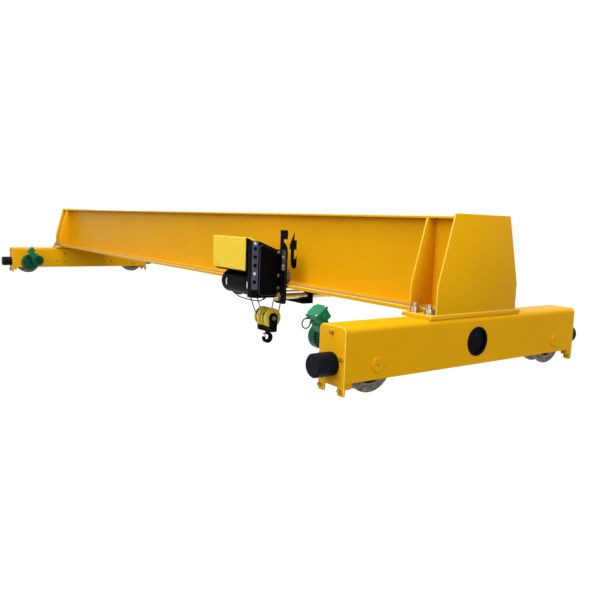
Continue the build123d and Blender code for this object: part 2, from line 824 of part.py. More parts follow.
with BuildPart() as housing:
    with BuildSketch(Plane.YZ.offset(housing_left)):
        with BuildLine():
            Polyline(
                (-plate_outer, housing_bottom_z + housing_step_height),
                (-plate_outer - housing_step_depth, housing_bottom_z + housing_step_height),
                (-plate_outer - housing_step_depth, housing_bottom_z),
                (housing_front, housing_bottom_z),
                (housing_front, flange_top + housing_top_front),
                (housing_front + housing_flat_front, flange_top + housing_top_front),
                (-plate_outer - housing_flat_back, flange_top + housing_top_back),
                (-plate_outer, flange_top + housing_top_back),
                close=True,
            )
        make_face()
    extrude(amount=housing_length)
    corner_edge = housing.edges().filter_by(Axis.Z).group_by(Axis.X)[-1].sort_by(Axis.Y)[0]
    chamfer(corner_edge, housing_chamfer)
    left_edge = housing.edges().filter_by(Axis.Z).group_by(Axis.X)[0].sort_by(Axis.Y)[0]
    fillet(left_edge, housing_round)
    lead_finish = (hoist_lead_start + hoist_lead_span, hoist_lead_y, hoist_lead_top)
    with BuildSketch(Plane(lead_finish, z_dir=(lead_tilt[0], 0, -lead_tilt[1]))):
        Circle(gland_radius)
    gland_slope = -lead_tilt[1] / hypot(*lead_tilt)
    extrude(amount=(housing_bottom_z - hoist_lead_top + gland_radius) / gland_slope)
save(housing, "hoist_gear_housing")

with BuildPart() as strip:
    strip_origin = (
        housing_right - housing_chamfer / 2,
        housing_front + housing_chamfer / 2,
        flange_top + strip_lift,
    )
    with BuildSketch(Plane(strip_origin, x_dir=(1, 1, 0), z_dir=(1, -1, 0))):
        strip_length = (strip_hole_count - 1) * strip_hole_pitch + 2 * strip_margin
        RectangleRounded(strip_width, strip_length, strip_thickness)
        with GridLocations(strip_width, strip_hole_pitch, 1, strip_hole_count):
            Circle(strip_hole_radius, mode=Mode.SUBTRACT)
    extrude(amount=strip_thickness)
save(strip, "hoist_hole_strip")

hoist_lead_route = [(0, 0), *hoist_lead_sag, (hoist_lead_span / 2, -hoist_lead_depth)]
hoist_lead_route += [(hoist_lead_span - along, drop) for along, drop in reversed(hoist_lead_route[:-1])]
hoist_lead_plane = Plane((hoist_lead_start, hoist_lead_y, hoist_lead_top), x_dir=(1, 0, 0), z_dir=(0, -1, 0))
cord(hoist_lead_plane, hoist_lead_route, hoist_lead_diameter, "hoist_lead")

# Rope falls: two from the drum's back to the sheaves' front, two from the sheaves' back to the anchor beam
drum_to_sheave = Vector(0, hook_y - drum_y, sheave_lift - drum_z)
rope_on_sheave = sheave_radius + rope_clearance
toward_sheave = drum_to_sheave.normalized()
behind = Vector(0, -toward_sheave.Z, toward_sheave.Y)
lean = (rope_on_drum + rope_on_sheave) / drum_to_sheave.length
tangent = toward_sheave * lean + behind * sqrt(1 - lean**2)
with BuildPart() as front_falls:
    for x in sheave_xs:
        top = Vector(x, drum_y, drum_z) + tangent * rope_on_drum
        bottom = Vector(x, hook_y, sheave_lift) - tangent * rope_on_sheave
        with BuildSketch(Plane(top, z_dir=bottom - top)):
            Circle(rope_radius)
        extrude(amount=(bottom - top).length)
save(front_falls, "front_rope_falls")

anchor_from_sheave = Vector(0, anchor_y - hook_y, anchor_bottom - sheave_lift)
anchor_angle = atan2(anchor_from_sheave.Z, anchor_from_sheave.Y)
tangent_angle = anchor_angle - acos(rope_on_sheave / anchor_from_sheave.length)
rope_from_axle = Vector(0, cos(tangent_angle), sin(tangent_angle)) * rope_on_sheave
with BuildPart() as back_falls:
    for x in sheave_xs:
        top = Vector(x, anchor_y, anchor_bottom)
        bottom = Vector(x, hook_y, sheave_lift) + rope_from_axle
        with BuildSketch(Plane(bottom, z_dir=top - bottom)):
            Circle(rope_radius)
        extrude(amount=(top - bottom).length + rope_radius)
    with Locations((hook_x, anchor_y, anchor_bottom + anchor_beam_height / 2)):
        Box(2 * block_half, anchor_width, anchor_beam_height, mode=Mode.SUBTRACT)
save(back_falls, "back_rope_falls")

# Hook block: sheaves on a pin, yellow covers over them, a frame of two cheeks and a crosshead
with BuildPart() as sheaves:
    with BuildSketch(Plane.YZ.offset(hook_x)):
        with Locations((hook_y, sheave_lift)):
            Circle(pin_radius)
    extrude(amount=block_half + cheek_gap + cheek_thickness + pin_head, both=True)
    for x in sheave_xs:
        with BuildSketch(Plane((x, hook_y, sheave_lift), x_dir=(1, 0, 0), z_dir=(0, -1, 0))):
            with BuildLine():
                groove = sheave_radius - rope_radius
                Polyline(
                    (-sheave_width / 2, 0),
                    (-sheave_width / 2, groove + sheave_rim),
                    (-rope_radius, groove),
                    (rope_radius, groove),
                    (sheave_width / 2, groove + sheave_rim),
                    (sheave_width / 2, 0),
                    close=True,
                )
            make_face()
        revolve(axis=Axis((x, hook_y, sheave_lift), (1, 0, 0)))
save(sheaves, "hook_block_sheaves")

with BuildPart() as covers:
    for x in sheave_xs:
        with BuildSketch(Plane.YZ.offset(x)):
            with Locations((hook_y, sheave_lift)):
                Circle(cover_radius)
        extrude(amount=cover_length / 2, both=True)
    chamfer(covers.edges().filter_by(GeomType.CIRCLE), cover_chamfer)
    for x in sheave_xs:
        with BuildSketch(Plane.YZ.offset(x)):
            with Locations((hook_y, sheave_lift)):
                Circle(cover_radius - cover_wall)
        extrude(amount=cover_length / 2 - cover_chamfer, both=True, mode=Mode.SUBTRACT)
        for start, finish in (cover_front_slot, cover_back_slot):
            rim = [radians(start), radians((start + finish) / 2), radians(finish)]
            slot_reach = 2 * cover_radius
            with BuildSketch(Plane.YZ.offset(x)):
                with BuildLine():
                    Polyline(
                        (hook_y, sheave_lift),
                        *((hook_y + slot_reach * cos(a), sheave_lift + slot_reach * sin(a)) for a in rim),
                        close=True,
                    )
                make_face()
            extrude(amount=cover_slot_width / 2, both=True, mode=Mode.SUBTRACT)
    with BuildSketch(Plane.YZ.offset(hook_x)):
        with Locations((hook_y, sheave_lift)):
            Circle(pin_radius + running_gap)
    extrude(amount=2 * block_half, both=True, mode=Mode.SUBTRACT)
save(covers, "hook_block_covers")

with BuildPart() as block_frame:
    cheek_inner = block_half + cheek_gap
    with BuildSketch(Plane.YZ.offset(hook_x)) as cheek_outline:
        with Locations((hook_y, sheave_lift)):
            Circle(cheek_crown)
        with Locations((hook_y, (crosshead_top + crosshead_bottom) / 2)):
            Rectangle(cheek_width, crosshead_height)
        make_hull()
    extrude(amount=cheek_inner + cheek_thickness, both=True)
    with Locations((hook_x, hook_y, crosshead_top + cover_radius * 2)):
        Box(2 * cheek_inner, 2 * cheek_crown, cover_radius * 4, mode=Mode.SUBTRACT)
    with BuildSketch(Plane.YZ.offset(hook_x)):
        with Locations((hook_y, sheave_lift)):
            Circle(pin_radius + running_gap)
    extrude(amount=2 * block_half, both=True, mode=Mode.SUBTRACT)
    with BuildSketch(Plane.XY.offset(crosshead_bottom)):
        with Locations((hook_x, hook_y)):
            Circle(shank_radius + running_gap)
    extrude(amount=crosshead_height, mode=Mode.SUBTRACT)
save(block_frame, "hook_block_frame")

# Hook: a forged C with a lug for the latch, on a shank held by a nut above the crosshead
pivot_y = hook_y - latch_pivot_out
pivot_z = bowl_z + latch_pivot_up
with BuildPart() as hook:
    with BuildSketch(Plane.YZ.offset(hook_x)):
        with Locations((hook_y + hook_outer_back, bowl_z - hook_outer_down)):
            Circle(hook_outer_radius)
        with Locations((hook_y - hook_outer_radius, bowl_z + hook_tip_rise + hook_outer_radius)):
            Rectangle(2 * hook_outer_radius, 2 * hook_outer_radius, mode=Mode.SUBTRACT)
        with BuildLine():
            Polyline(
                (hook_y - shank_radius, crosshead_bottom - hook_neck_start),
                (hook_y + shank_radius, crosshead_bottom - hook_neck_start),
                (hook_y + hook_outer_back + hook_neck_bottom, bowl_z + hook_bowl_radius),
                (hook_y, bowl_z + hook_bowl_radius),
                close=True,
            )
        make_face()
        with Locations((hook_y, bowl_z)):
            Circle(hook_bowl_radius, mode=Mode.SUBTRACT)
    extrude(amount=hook_width / 2, both=True)
    with BuildSketch(Plane.YZ.offset(hook_x)):
        with Locations((pivot_y, pivot_z), (hook_y - shank_radius / 2, pivot_z)):
            Circle(latch_lug_radius)
        make_hull()
    extrude(amount=latch_lug_width / 2, both=True)
    with BuildSketch(Plane.YZ.offset(hook_x)):
        with Locations((pivot_y, pivot_z)):
            Circle(latch_pin_radius + running_gap)
    extrude(amount=hook_width, both=True, mode=Mode.SUBTRACT)
    with BuildSketch(Plane.XY.offset(crosshead_bottom - hook_neck_start)):
        with Locations((hook_x, hook_y)):
            Circle(shank_radius)
    extrude(amount=hook_neck_start + crosshead_height + nut_gap + nut_height)
    with BuildSketch(Plane.XY.offset(crosshead_top + nut_gap)):
        with Locations((hook_x, hook_y)):
            Circle(nut_radius)
    extrude(amount=nut_height)
save(hook, "hook")

latch_end = Vector(hook_x, hook_y - latch_end_out, bowl_z + latch_end_up)
latch_pivot = Vector(hook_x, pivot_y, pivot_z)
latch_run = (latch_end - latch_pivot).length
latch_plane = Plane(latch_pivot, x_dir=latch_end - latch_pivot, z_dir=(1, 0, 0))
with BuildPart() as latch:
    with BuildSketch(latch_plane):
        Circle(latch_eye_radius)
        with Locations((latch_run / 2, 0)):
            Rectangle(latch_run, latch_thickness)
    extrude(amount=latch_width / 2, both=True)
    with BuildSketch(latch_plane):
        Circle(latch_slot_reach)
    extrude(amount=latch_width / 2 - latch_cheek, both=True, mode=Mode.SUBTRACT)
    with BuildSketch(latch_plane):
        Circle(latch_pin_radius)
    extrude(amount=latch_width / 2, both=True)
save(latch, "hook_latch")
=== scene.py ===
# %% [markdown]
# # Dressing an overhead bridge crane
# The solids come from the CAD part: a box girder, two end carriages on flanged wheels, and a hoist that
# hangs on the girder's bottom flange. This lesson gives them paint, rope, welds and bolts.

import json
from math import cos, radians, sin

import bpy
from mathutils import Matrix, Vector
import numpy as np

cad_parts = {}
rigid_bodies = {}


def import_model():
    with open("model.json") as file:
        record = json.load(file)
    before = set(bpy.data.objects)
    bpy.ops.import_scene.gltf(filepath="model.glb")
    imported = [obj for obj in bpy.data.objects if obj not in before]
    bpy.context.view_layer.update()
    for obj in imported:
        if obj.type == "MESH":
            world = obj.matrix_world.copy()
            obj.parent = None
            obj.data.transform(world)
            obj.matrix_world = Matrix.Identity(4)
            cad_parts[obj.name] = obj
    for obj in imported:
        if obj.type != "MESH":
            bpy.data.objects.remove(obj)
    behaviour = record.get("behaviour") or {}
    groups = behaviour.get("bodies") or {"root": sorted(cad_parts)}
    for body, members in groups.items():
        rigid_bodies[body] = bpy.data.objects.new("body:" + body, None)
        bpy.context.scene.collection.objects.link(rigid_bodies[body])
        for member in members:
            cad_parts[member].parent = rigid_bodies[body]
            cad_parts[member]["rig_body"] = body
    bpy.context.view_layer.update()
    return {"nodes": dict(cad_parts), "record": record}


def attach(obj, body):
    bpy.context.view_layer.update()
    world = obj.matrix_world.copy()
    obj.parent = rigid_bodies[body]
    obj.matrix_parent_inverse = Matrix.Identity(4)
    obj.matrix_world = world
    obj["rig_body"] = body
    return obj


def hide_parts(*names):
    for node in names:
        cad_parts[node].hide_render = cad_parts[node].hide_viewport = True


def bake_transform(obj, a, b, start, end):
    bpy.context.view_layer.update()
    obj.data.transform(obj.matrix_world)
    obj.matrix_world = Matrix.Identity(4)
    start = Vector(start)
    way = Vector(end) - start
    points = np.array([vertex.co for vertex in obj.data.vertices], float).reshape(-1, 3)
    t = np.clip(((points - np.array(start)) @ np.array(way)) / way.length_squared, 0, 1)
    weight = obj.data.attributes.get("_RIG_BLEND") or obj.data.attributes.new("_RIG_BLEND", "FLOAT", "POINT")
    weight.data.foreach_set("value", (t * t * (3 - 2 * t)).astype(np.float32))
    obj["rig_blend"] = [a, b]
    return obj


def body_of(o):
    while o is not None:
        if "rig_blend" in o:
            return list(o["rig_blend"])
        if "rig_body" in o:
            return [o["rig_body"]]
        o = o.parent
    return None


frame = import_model()
nodes = frame["nodes"]

# %% [markdown]
# ## Camera
# A photographer stood to the right of the near end and looked along the girder. The camera's place and
# turn were worked out from the girder's straight edges, so straight lines in the render run as they do in
# the picture. The lens is given in millimetres on a 36 mm sensor.

# %% Put the camera where the photographer stood
camera_place = Vector((2.4413, -2.9805, 0.8444))
camera_yaw, camera_pitch, camera_roll = radians(54.035), radians(-6.988), radians(2.057)
ahead = Vector((-sin(camera_yaw) * cos(camera_pitch), cos(camera_yaw) * cos(camera_pitch), sin(camera_pitch)))
level = Vector((cos(camera_yaw), sin(camera_yaw), 0))
above = level.cross(ahead)
camera_right = cos(camera_roll) * level + sin(camera_roll) * above
camera_up = cos(camera_roll) * above - sin(camera_roll) * level
camera_turn = Matrix((camera_right, camera_up, -ahead)).transposed()
bpy.ops.object.select_all(action="DESELECT")
bpy.ops.object.camera_add(location=camera_place, rotation=camera_turn.to_euler())
camera = bpy.context.object
camera.name = "camera"
camera.data.sensor_width = 36
camera.data.lens = 38.04
camera.data.clip_end = 200
bpy.context.scene.camera = camera
print("camera", camera.data.lens, "mm")

# %% [markdown]
# ## Light
# The crane was shown on white in an even, bright light. The world gives the white. It is full where the
# camera or a glossy surface sees it, and gentler as a lamp, so the background never burns the paint out. A
# Light Path node tells what is looking, and Math nodes put its answers together.

# %% White world
def add_math(tree, operation, first, second=None):
    """A Math node on one or two values, each a number or the output of another node."""
    node = tree.nodes.new("ShaderNodeMath")
    node.operation = operation
    for socket, value in zip(node.inputs, (first, second)):
        if isinstance(value, bpy.types.NodeSocket):
            tree.links.new(value, socket)
        elif value is not None:
            socket.default_value = value
    return node.outputs[0]


scene = bpy.context.scene
scene.view_settings.view_transform = "Standard"
world = bpy.data.worlds.new("white_room")
scene.world = world
world.use_nodes = True
room = world.node_tree
backdrop = room.nodes["Background"]
backdrop.inputs["Color"].default_value = (1, 1, 1, 1)
sight = room.nodes.new("ShaderNodeLightPath")
seen = add_math(room, "MAXIMUM", sight.outputs["Is Camera Ray"], sight.outputs["Is Transmission Ray"])
mirrored = add_math(room, "MAXIMUM", seen, sight.outputs["Is Glossy Ray"])
strength = room.nodes.new("ShaderNodeMapRange")
strength.inputs["To Min"].default_value = 0.5
strength.inputs["To Max"].default_value = 1.0
room.links.new(mirrored, strength.inputs["Value"])
room.links.new(strength.outputs[0], backdrop.inputs["Strength"])
print("world", world.name)

# %% [markdown]
# A large soft lamp overhead, one in front and one off the near end give the even light. The larger a lamp
# is, the softer its shadows are, so square area lamps serve here, each turned to face a point on the crane.

# %% Soft lamps
def soft_lamp(name, place, target, size, power):
    """Adds a square lamp that faces a point."""
    bpy.ops.object.light_add(type="AREA", location=place)
    lamp = bpy.context.object
    lamp.name = name
    lamp.data.size = size
    lamp.data.energy = power
    aim = Vector(target) - Vector(place)
    lamp.rotation_euler = aim.to_track_quat("-Z", "Y").to_euler()
    return lamp


girder_middle = (-3.7, 0, 0.5)
soft_lamp("overhead_lamp", (-2.5, -1.5, 9), girder_middle, 9, 900)
soft_lamp("front_lamp", (0.5, -9, 4.5), (-2.6, 0, 0.4), 6, 480)
soft_lamp("end_lamp", (8, -1.5, 4), (0, 0, 0.3), 5, 290)

# %% [markdown]
# ## Floor
# The crane hangs high on its runway, and its hook can go down six metres. The floor is just below that, so
# the hook never reaches through it. Its surface is pale, and it glows for the camera and in reflections, so
# it runs into the white background with no horizon.

# %% Floor far below the rails
floor_level = -6.3
bpy.ops.mesh.primitive_plane_add(size=160, location=(-3, 0, floor_level))
floor = bpy.context.object
floor.name = "floor"
floor_finish = bpy.data.materials.new("pale_floor")
floor_finish.use_nodes = True
floor_tree = floor_finish.node_tree
floor_shader = floor_tree.nodes["Principled BSDF"]
floor_shader.inputs["Base Color"].default_value = (0.35, 0.35, 0.35, 1)
floor_shader.inputs["Roughness"].default_value = 0.9
floor_shader.inputs["Emission Color"].default_value = (1, 1, 1, 1)
floor_sight = floor_tree.nodes.new("ShaderNodeLightPath")
floor_rays = floor_sight.outputs["Is Camera Ray"], floor_sight.outputs["Is Glossy Ray"]
floor_glow = add_math(floor_tree, "MULTIPLY", add_math(floor_tree, "MAXIMUM", *floor_rays), 0.85)
floor_tree.links.new(floor_glow, floor_shader.inputs["Emission Strength"])
floor.data.materials.append(floor_finish)
print("floor at", floor_level)

# %% [markdown]
# ## Paint
# Sprayed enamel isn't one flat colour: the film is a little thicker here and thinner there, it has the
# fine dimples called orange peel, and dust dulls its gloss in patches. One helper makes such a finish from
# two close tones. Noise on Object coordinates mixes the tones, moves the roughness, and dimples the
# surface. Numbers that are the same everywhere go straight on the shader.

# %% A helper for sprayed enamel
def start_finish(name):
    """A new node material with its shader and its object coordinates."""
    finish = bpy.data.materials.new(name)
    finish.use_nodes = True
    coordinates = finish.node_tree.nodes.new("ShaderNodeTexCoord")
    return finish, finish.node_tree.nodes["Principled BSDF"], coordinates.outputs["Object"]


def add_noise(finish, coordinates, scale, detail=4.0):
    """Noise on the piece's own coordinates, as a grey value."""
    noise = finish.node_tree.nodes.new("ShaderNodeTexNoise")
    noise.inputs["Scale"].default_value = scale
    noise.inputs["Detail"].default_value = detail
    finish.node_tree.links.new(coordinates, noise.inputs["Vector"])
    return noise.outputs["Fac"]


def add_range(finish, value, low, high, to_low, to_high):
    """Maps a value from one range to another."""
    mapped = finish.node_tree.nodes.new("ShaderNodeMapRange")
    for socket, number in (("From Min", low), ("From Max", high), ("To Min", to_low), ("To Max", to_high)):
        mapped.inputs[socket].default_value = number
    finish.node_tree.links.new(value, mapped.inputs["Value"])
    return mapped.outputs[0]


def add_mix(finish, share, first, second):
    """Mixes two colours, each a colour or the output of another node."""
    mix = finish.node_tree.nodes.new("ShaderNodeMix")
    mix.data_type = "RGBA"
    for socket, colour in ((mix.inputs[6], first), (mix.inputs[7], second)):
        if isinstance(colour, tuple):
            socket.default_value = (*colour, 1)
        else:
            finish.node_tree.links.new(colour, socket)
    finish.node_tree.links.new(share, mix.inputs[0])
    return mix.outputs[2]


def add_dimples(finish, shader, height, depth, strength):
    """Bumps the surface by a grey value."""
    bump = finish.node_tree.nodes.new("ShaderNodeBump")
    bump.inputs["Strength"].default_value = strength
    bump.inputs["Distance"].default_value = depth
    finish.node_tree.links.new(height, bump.inputs["Height"])
    finish.node_tree.links.new(bump.outputs[0], shader.inputs["Normal"])


def sprayed_enamel(name, tone, thin_tone, roughness, patch=3.0, peel=260, shine=0.025):
    """Paint with two close tones, uneven gloss and orange peel."""
    finish, shader, coordinates = start_finish(name)
    patches = add_noise(finish, coordinates, patch)
    share = add_range(finish, patches, 0.35, 0.65, 0, 1)
    colour = add_mix(finish, share, tone, thin_tone)
    finish.node_tree.links.new(colour, shader.inputs["Base Color"])
    dust = add_noise(finish, coordinates, patch * 6)
    rough = add_range(finish, dust, 0.3, 0.7, roughness - 0.06, roughness + 0.1)
    finish.node_tree.links.new(rough, shader.inputs["Roughness"])
    add_dimples(finish, shader, add_noise(finish, coordinates, peel, 1.0), 0.0002, 0.03)
    shader.inputs["Specular IOR Level"].default_value = shine
    return finish, shader, coordinates, colour


# %% [markdown]
# The girder and the carriages share one warm yellow. The hoist has a paler one of its own, and its housing,
# plates and hook are black. The hook block's covers get a lighter copy of the hoist's yellow, painted bright
# for the shade that they hang in under the girder. The travel drives are green, and their terminal boxes get
# a lighter copy of the green, a painted reflection of the bright room on their lids. A row gives a paint's
# two tones, its roughness, the scales of its patches and of its dimples, and its shine. What a row leaves
# out is as the helper has it.

# %% The crane's own paints
crane_yellow, crane_thin = (0.76, 0.385, 0.004), (0.73, 0.365, 0.0035)
paint_tones = {
    "crane_enamel": (crane_yellow, crane_thin, 0.3, 2),
    "hoist_enamel": ((0.87, 0.61, 0.05), (0.84, 0.575, 0.044), 0.4, 5, 900),
    # A lighter copy of the hoist's yellow: painted light for the hook block, which hangs in shade.
    "block_lit_enamel": ((0.95, 0.75, 0.08), (0.92, 0.7, 0.07), 0.35, 12, 900),
    "black_enamel": ((0.002, 0.002, 0.0025), (0.0035, 0.0035, 0.004), 0.34, 8, 900, 0.02),
    "strip_enamel": ((0.04, 0.04, 0.062), (0.06, 0.058, 0.08), 0.4, 20, 900, 0.2),
    "drive_enamel": ((0.004, 0.085, 0.04), (0.003, 0.06, 0.028), 0.24, 9, 600, 0.12),
    # A lighter copy of the drive green: a painted reflection of the bright room on the boxes' lids.
    "box_lit_enamel": ((0.012, 0.2, 0.088), (0.009, 0.16, 0.07), 0.24, 9, 600, 0.12),
}
paints = {name: sprayed_enamel(name, *tones)[0] for name, tones in paint_tones.items()}
crane_enamel = paints["crane_enamel"]
black_enamel = paints["black_enamel"]
box_lit_enamel = paints["box_lit_enamel"]
print("paints", *paints)

# %% [markdown]
# ## A worn running track
# The trolley's wheels run on the top of the bottom flange, and rub its paint off in a stripe along each
# edge. Object coordinates tell how far a point is from the girder's middle, and the normal tells that it
# is on top, so the stripe needs no drawing: two ranges of Y make it, with noise to fray its edges.

# %% Bottom flange with bare stripes
track_inner, track_outer, track_fray = 0.262, 0.34, 0.006
flange_enamel, shader, coordinates, colour = sprayed_enamel("flange_enamel", crane_yellow, crane_thin, 0.3, 2)
tree = flange_enamel.node_tree
split = tree.nodes.new("ShaderNodeSeparateXYZ")
tree.links.new(coordinates, split.inputs[0])
across = add_math(tree, "ABSOLUTE", split.outputs["Y"])
fray = add_range(flange_enamel, add_noise(flange_enamel, coordinates, 14), 0.3, 0.7, -track_fray, track_fray)
frayed = add_math(tree, "ADD", across, fray)
from_web = add_range(flange_enamel, frayed, track_inner - 0.008, track_inner + 0.008, 0, 1)
from_edge = add_range(flange_enamel, frayed, track_outer - 0.006, track_outer + 0.006, 1, 0)
stripe = add_math(tree, "MULTIPLY", from_web, from_edge)
surface = tree.nodes.new("ShaderNodeNewGeometry")
facing = tree.nodes.new("ShaderNodeSeparateXYZ")
tree.links.new(surface.outputs["Normal"], facing.inputs[0])
on_top = add_range(flange_enamel, facing.outputs["Z"], 0.5, 0.6, 0, 1)
bare = add_math(tree, "MULTIPLY", stripe, on_top)
worn = add_mix(flange_enamel, bare, colour, (0.36, 0.28, 0.19))
tree.links.new(worn, shader.inputs["Base Color"])
tree.links.new(add_range(flange_enamel, bare, 0, 1, 0, 0.3), shader.inputs["Metallic"])
print("track from", track_inner, "to", track_outer)

# %% [markdown]
# ## Metal, rubber and plastic
# Cast wheels are dark, with brown in the pores. Zinc plate has a thin film that goes from straw to grey. One
# helper serves every metal: noise mixes two tones, and the darker one is the rougher.

# %% Bare metals
def worn_metal(name, tone, dark_tone, roughness, patch, grain, metallic):
    """Metal with darker patches, uneven gloss and a fine grain."""
    finish, shader, coordinates = start_finish(name)
    share = add_range(finish, add_noise(finish, coordinates, patch, 6), 0.35, 0.65, 0, 1)
    finish.node_tree.links.new(add_mix(finish, share, tone, dark_tone), shader.inputs["Base Color"])
    rough = add_range(finish, share, 0, 1, roughness, roughness + 0.18)
    finish.node_tree.links.new(rough, shader.inputs["Roughness"])
    add_dimples(finish, shader, add_noise(finish, coordinates, grain, 2), 0.0005, 0.2)
    shader.inputs["Metallic"].default_value = metallic
    return finish


wheel_metal = worn_metal("wheel_metal", (0.21, 0.19, 0.155), (0.06, 0.05, 0.04), 0.36, 70, 420, 0.8)
zinc_yellow = worn_metal("zinc_yellow", (0.6, 0.44, 0.18), (0.42, 0.29, 0.13), 0.28, 40, 500, 0.9)
zinc_bright = worn_metal("zinc_bright", (0.8, 0.79, 0.77), (0.6, 0.58, 0.55), 0.26, 60, 600, 0.9)
rope_wire = worn_metal("rope_wire", (0.34, 0.33, 0.32), (0.2, 0.19, 0.18), 0.35, 300, 900, 0.8)
stud_zinc = worn_metal("stud_zinc", (0.52, 0.44, 0.31), (0.2, 0.14, 0.08), 0.3, 120, 500, 0.85)
bar_zinc = worn_metal("bar_zinc", (0.85, 0.64, 0.3), (0.62, 0.44, 0.2), 0.25, 40, 500, 0.75)
nut_steel = worn_metal("nut_steel", (0.5, 0.49, 0.48), (0.3, 0.29, 0.28), 0.35, 60, 600, 0.9)
# Dark brown for the carriage end nuts: painted shade for the shaded side of yellow painted bolts.
bolt_shade_brown = worn_metal("bolt_shade_brown", (0.5, 0.27, 0.03), (0.26, 0.12, 0.015), 0.4, 90, 500, 0.6)
print("metals", wheel_metal.name, zinc_yellow.name, zinc_bright.name, rope_wire.name, stud_zinc.name)

# %% [markdown]
# Rubber and plastic are dark and dull, with a film of dust on them. A second helper makes them in the same
# way, only with no metal in it and with little shine.

# %% Rubber and plastic
def dull_black(name, tone, dusty_tone, roughness, patch, shine=0.03):
    """Black rubber or plastic with a thin film of dust."""
    finish, shader, coordinates = start_finish(name)
    share = add_range(finish, add_noise(finish, coordinates, patch, 5), 0.4, 0.75, 0, 1)
    finish.node_tree.links.new(add_mix(finish, share, tone, dusty_tone), shader.inputs["Base Color"])
    rough = add_range(finish, share, 0, 1, roughness, roughness + 0.15)
    finish.node_tree.links.new(rough, shader.inputs["Roughness"])
    add_dimples(finish, shader, add_noise(finish, coordinates, 800, 2), 0.0003, 0.1)
    shader.inputs["Specular IOR Level"].default_value = shine
    return finish


buffer_rubber = dull_black("dusty_rubber", (0.003, 0.0037, 0.0075), (0.005, 0.0055, 0.01), 0.4, 18, 0.06)
# The same dark material also covers small holes as painted shade.
plug_plastic = dull_black("dark_plastic_and_hole_shade", (0.0012, 0.0018, 0.0042), (0.0025, 0.003, 0.006), 0.45, 25)
cable_rubber = dull_black("cable_sheath", (0.004, 0.004, 0.005), (0.008, 0.008, 0.009), 0.4, 60)
print("blacks", buffer_rubber.name, plug_plastic.name, cable_rubber.name)

# %% [markdown]
# The part's record gives each CAD node a slot, which names what it is made of. One loop paints every node
# by its slot. A few nodes have a finish of their own: the worn flange, the axle caps, which are painted over
# with the carriage, the hook block's covers, the plated tie bars and the terminal boxes.

# %% Paint the CAD nodes
finish_of_slot = {
    "crane_paint": crane_enamel,
    "hoist_paint": paints["hoist_enamel"],
    "black_paint": black_enamel,
    "grey_strip": paints["strip_enamel"],
    "drive_green": paints["drive_enamel"],
    "wheel_iron": wheel_metal,
    "zinc": zinc_yellow,
    "rope_steel": rope_wire,
    "buffer_rubber": buffer_rubber,
    "plug_plastic": plug_plastic,
    "cable_rubber": cable_rubber,
}
own_finish = {
    "girder_bottom_flange": flange_enamel,
    "axle_caps": crane_enamel,
    # The hook block's covers take the lighter copy, painted light for the shade under the girder.
    "hook_block_covers": paints["block_lit_enamel"],
    "trolley_tie_bars": bar_zinc,
    # Terminal boxes take the lighter green, a painted reflection on their lids.
    "near_drive_terminal_box": box_lit_enamel,
    "far_drive_terminal_box": box_lit_enamel,
}
slot_of_node = {entry["node"]: entry["material_slot"] for entry in frame["record"]["subparts"]}
for node, slot in slot_of_node.items():
    nodes[node].data.materials.clear()
    nodes[node].data.materials.append(own_finish.get(node, finish_of_slot[slot]))
print("painted", len(slot_of_node), "nodes")

# %% [markdown]
# ## Edges that have been ground
# A saw-sharp edge is the first thing that gives a computer model away: on real plate the edge is ground
# and painted, and it catches a thin line of light. A CAD node is never changed, so each plate is copied,
# its loose triangles are merged and made flat faces again, and a Bevel modifier takes the edge off. The
# modifier gives its new faces a second material, a lighter paint that is a painted highlight along the edge.

# %% Eased copies of the plates
def clear_selection():
    """Nothing stays selected, so that the next operator acts on the new piece alone."""
    bpy.ops.object.select_all(action="DESELECT")


def take_up(piece):
    """Selects one piece and makes it the active one."""
    clear_selection()
    piece.select_set(True)
    bpy.context.view_layer.objects.active = piece


def smooth_over(piece, angle=35):
    """Smooth shading, except across edges sharper than an angle in degrees."""
    take_up(piece)
    bpy.ops.object.shade_smooth_by_angle(angle=radians(angle))


def ease_edges(node, width):
    """Puts a copy with bevelled edges in a CAD node's place."""
    source = nodes[node]
    copy = bpy.data.objects.new(f"{node}_eased", source.data.copy())
    scene.collection.objects.link(copy)
    take_up(copy)
    bpy.ops.object.mode_set(mode="EDIT")
    bpy.ops.mesh.select_all(action="SELECT")
    bpy.ops.mesh.remove_doubles(threshold=0.00001)
    bpy.ops.mesh.dissolve_limited(angle_limit=radians(1))
    bpy.ops.object.mode_set(mode="OBJECT")
    bpy.ops.object.modifier_add(type="BEVEL")
    bevel = copy.modifiers[-1]
    bevel.width = width
    bevel.segments = 2
    bevel.limit_method = "ANGLE"
    bevel.angle_limit = radians(40)
    # The bevel's faces get the lighter edge paint, a painted highlight.
    copy.data.materials.append(highlight_edge_of_slot[slot_of_node[node]])
    bevel.material = 1
    bpy.ops.object.modifier_apply(modifier=bevel.name)
    smooth_over(copy)
    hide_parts(node)
    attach(copy, body_of(source)[0])
    return copy


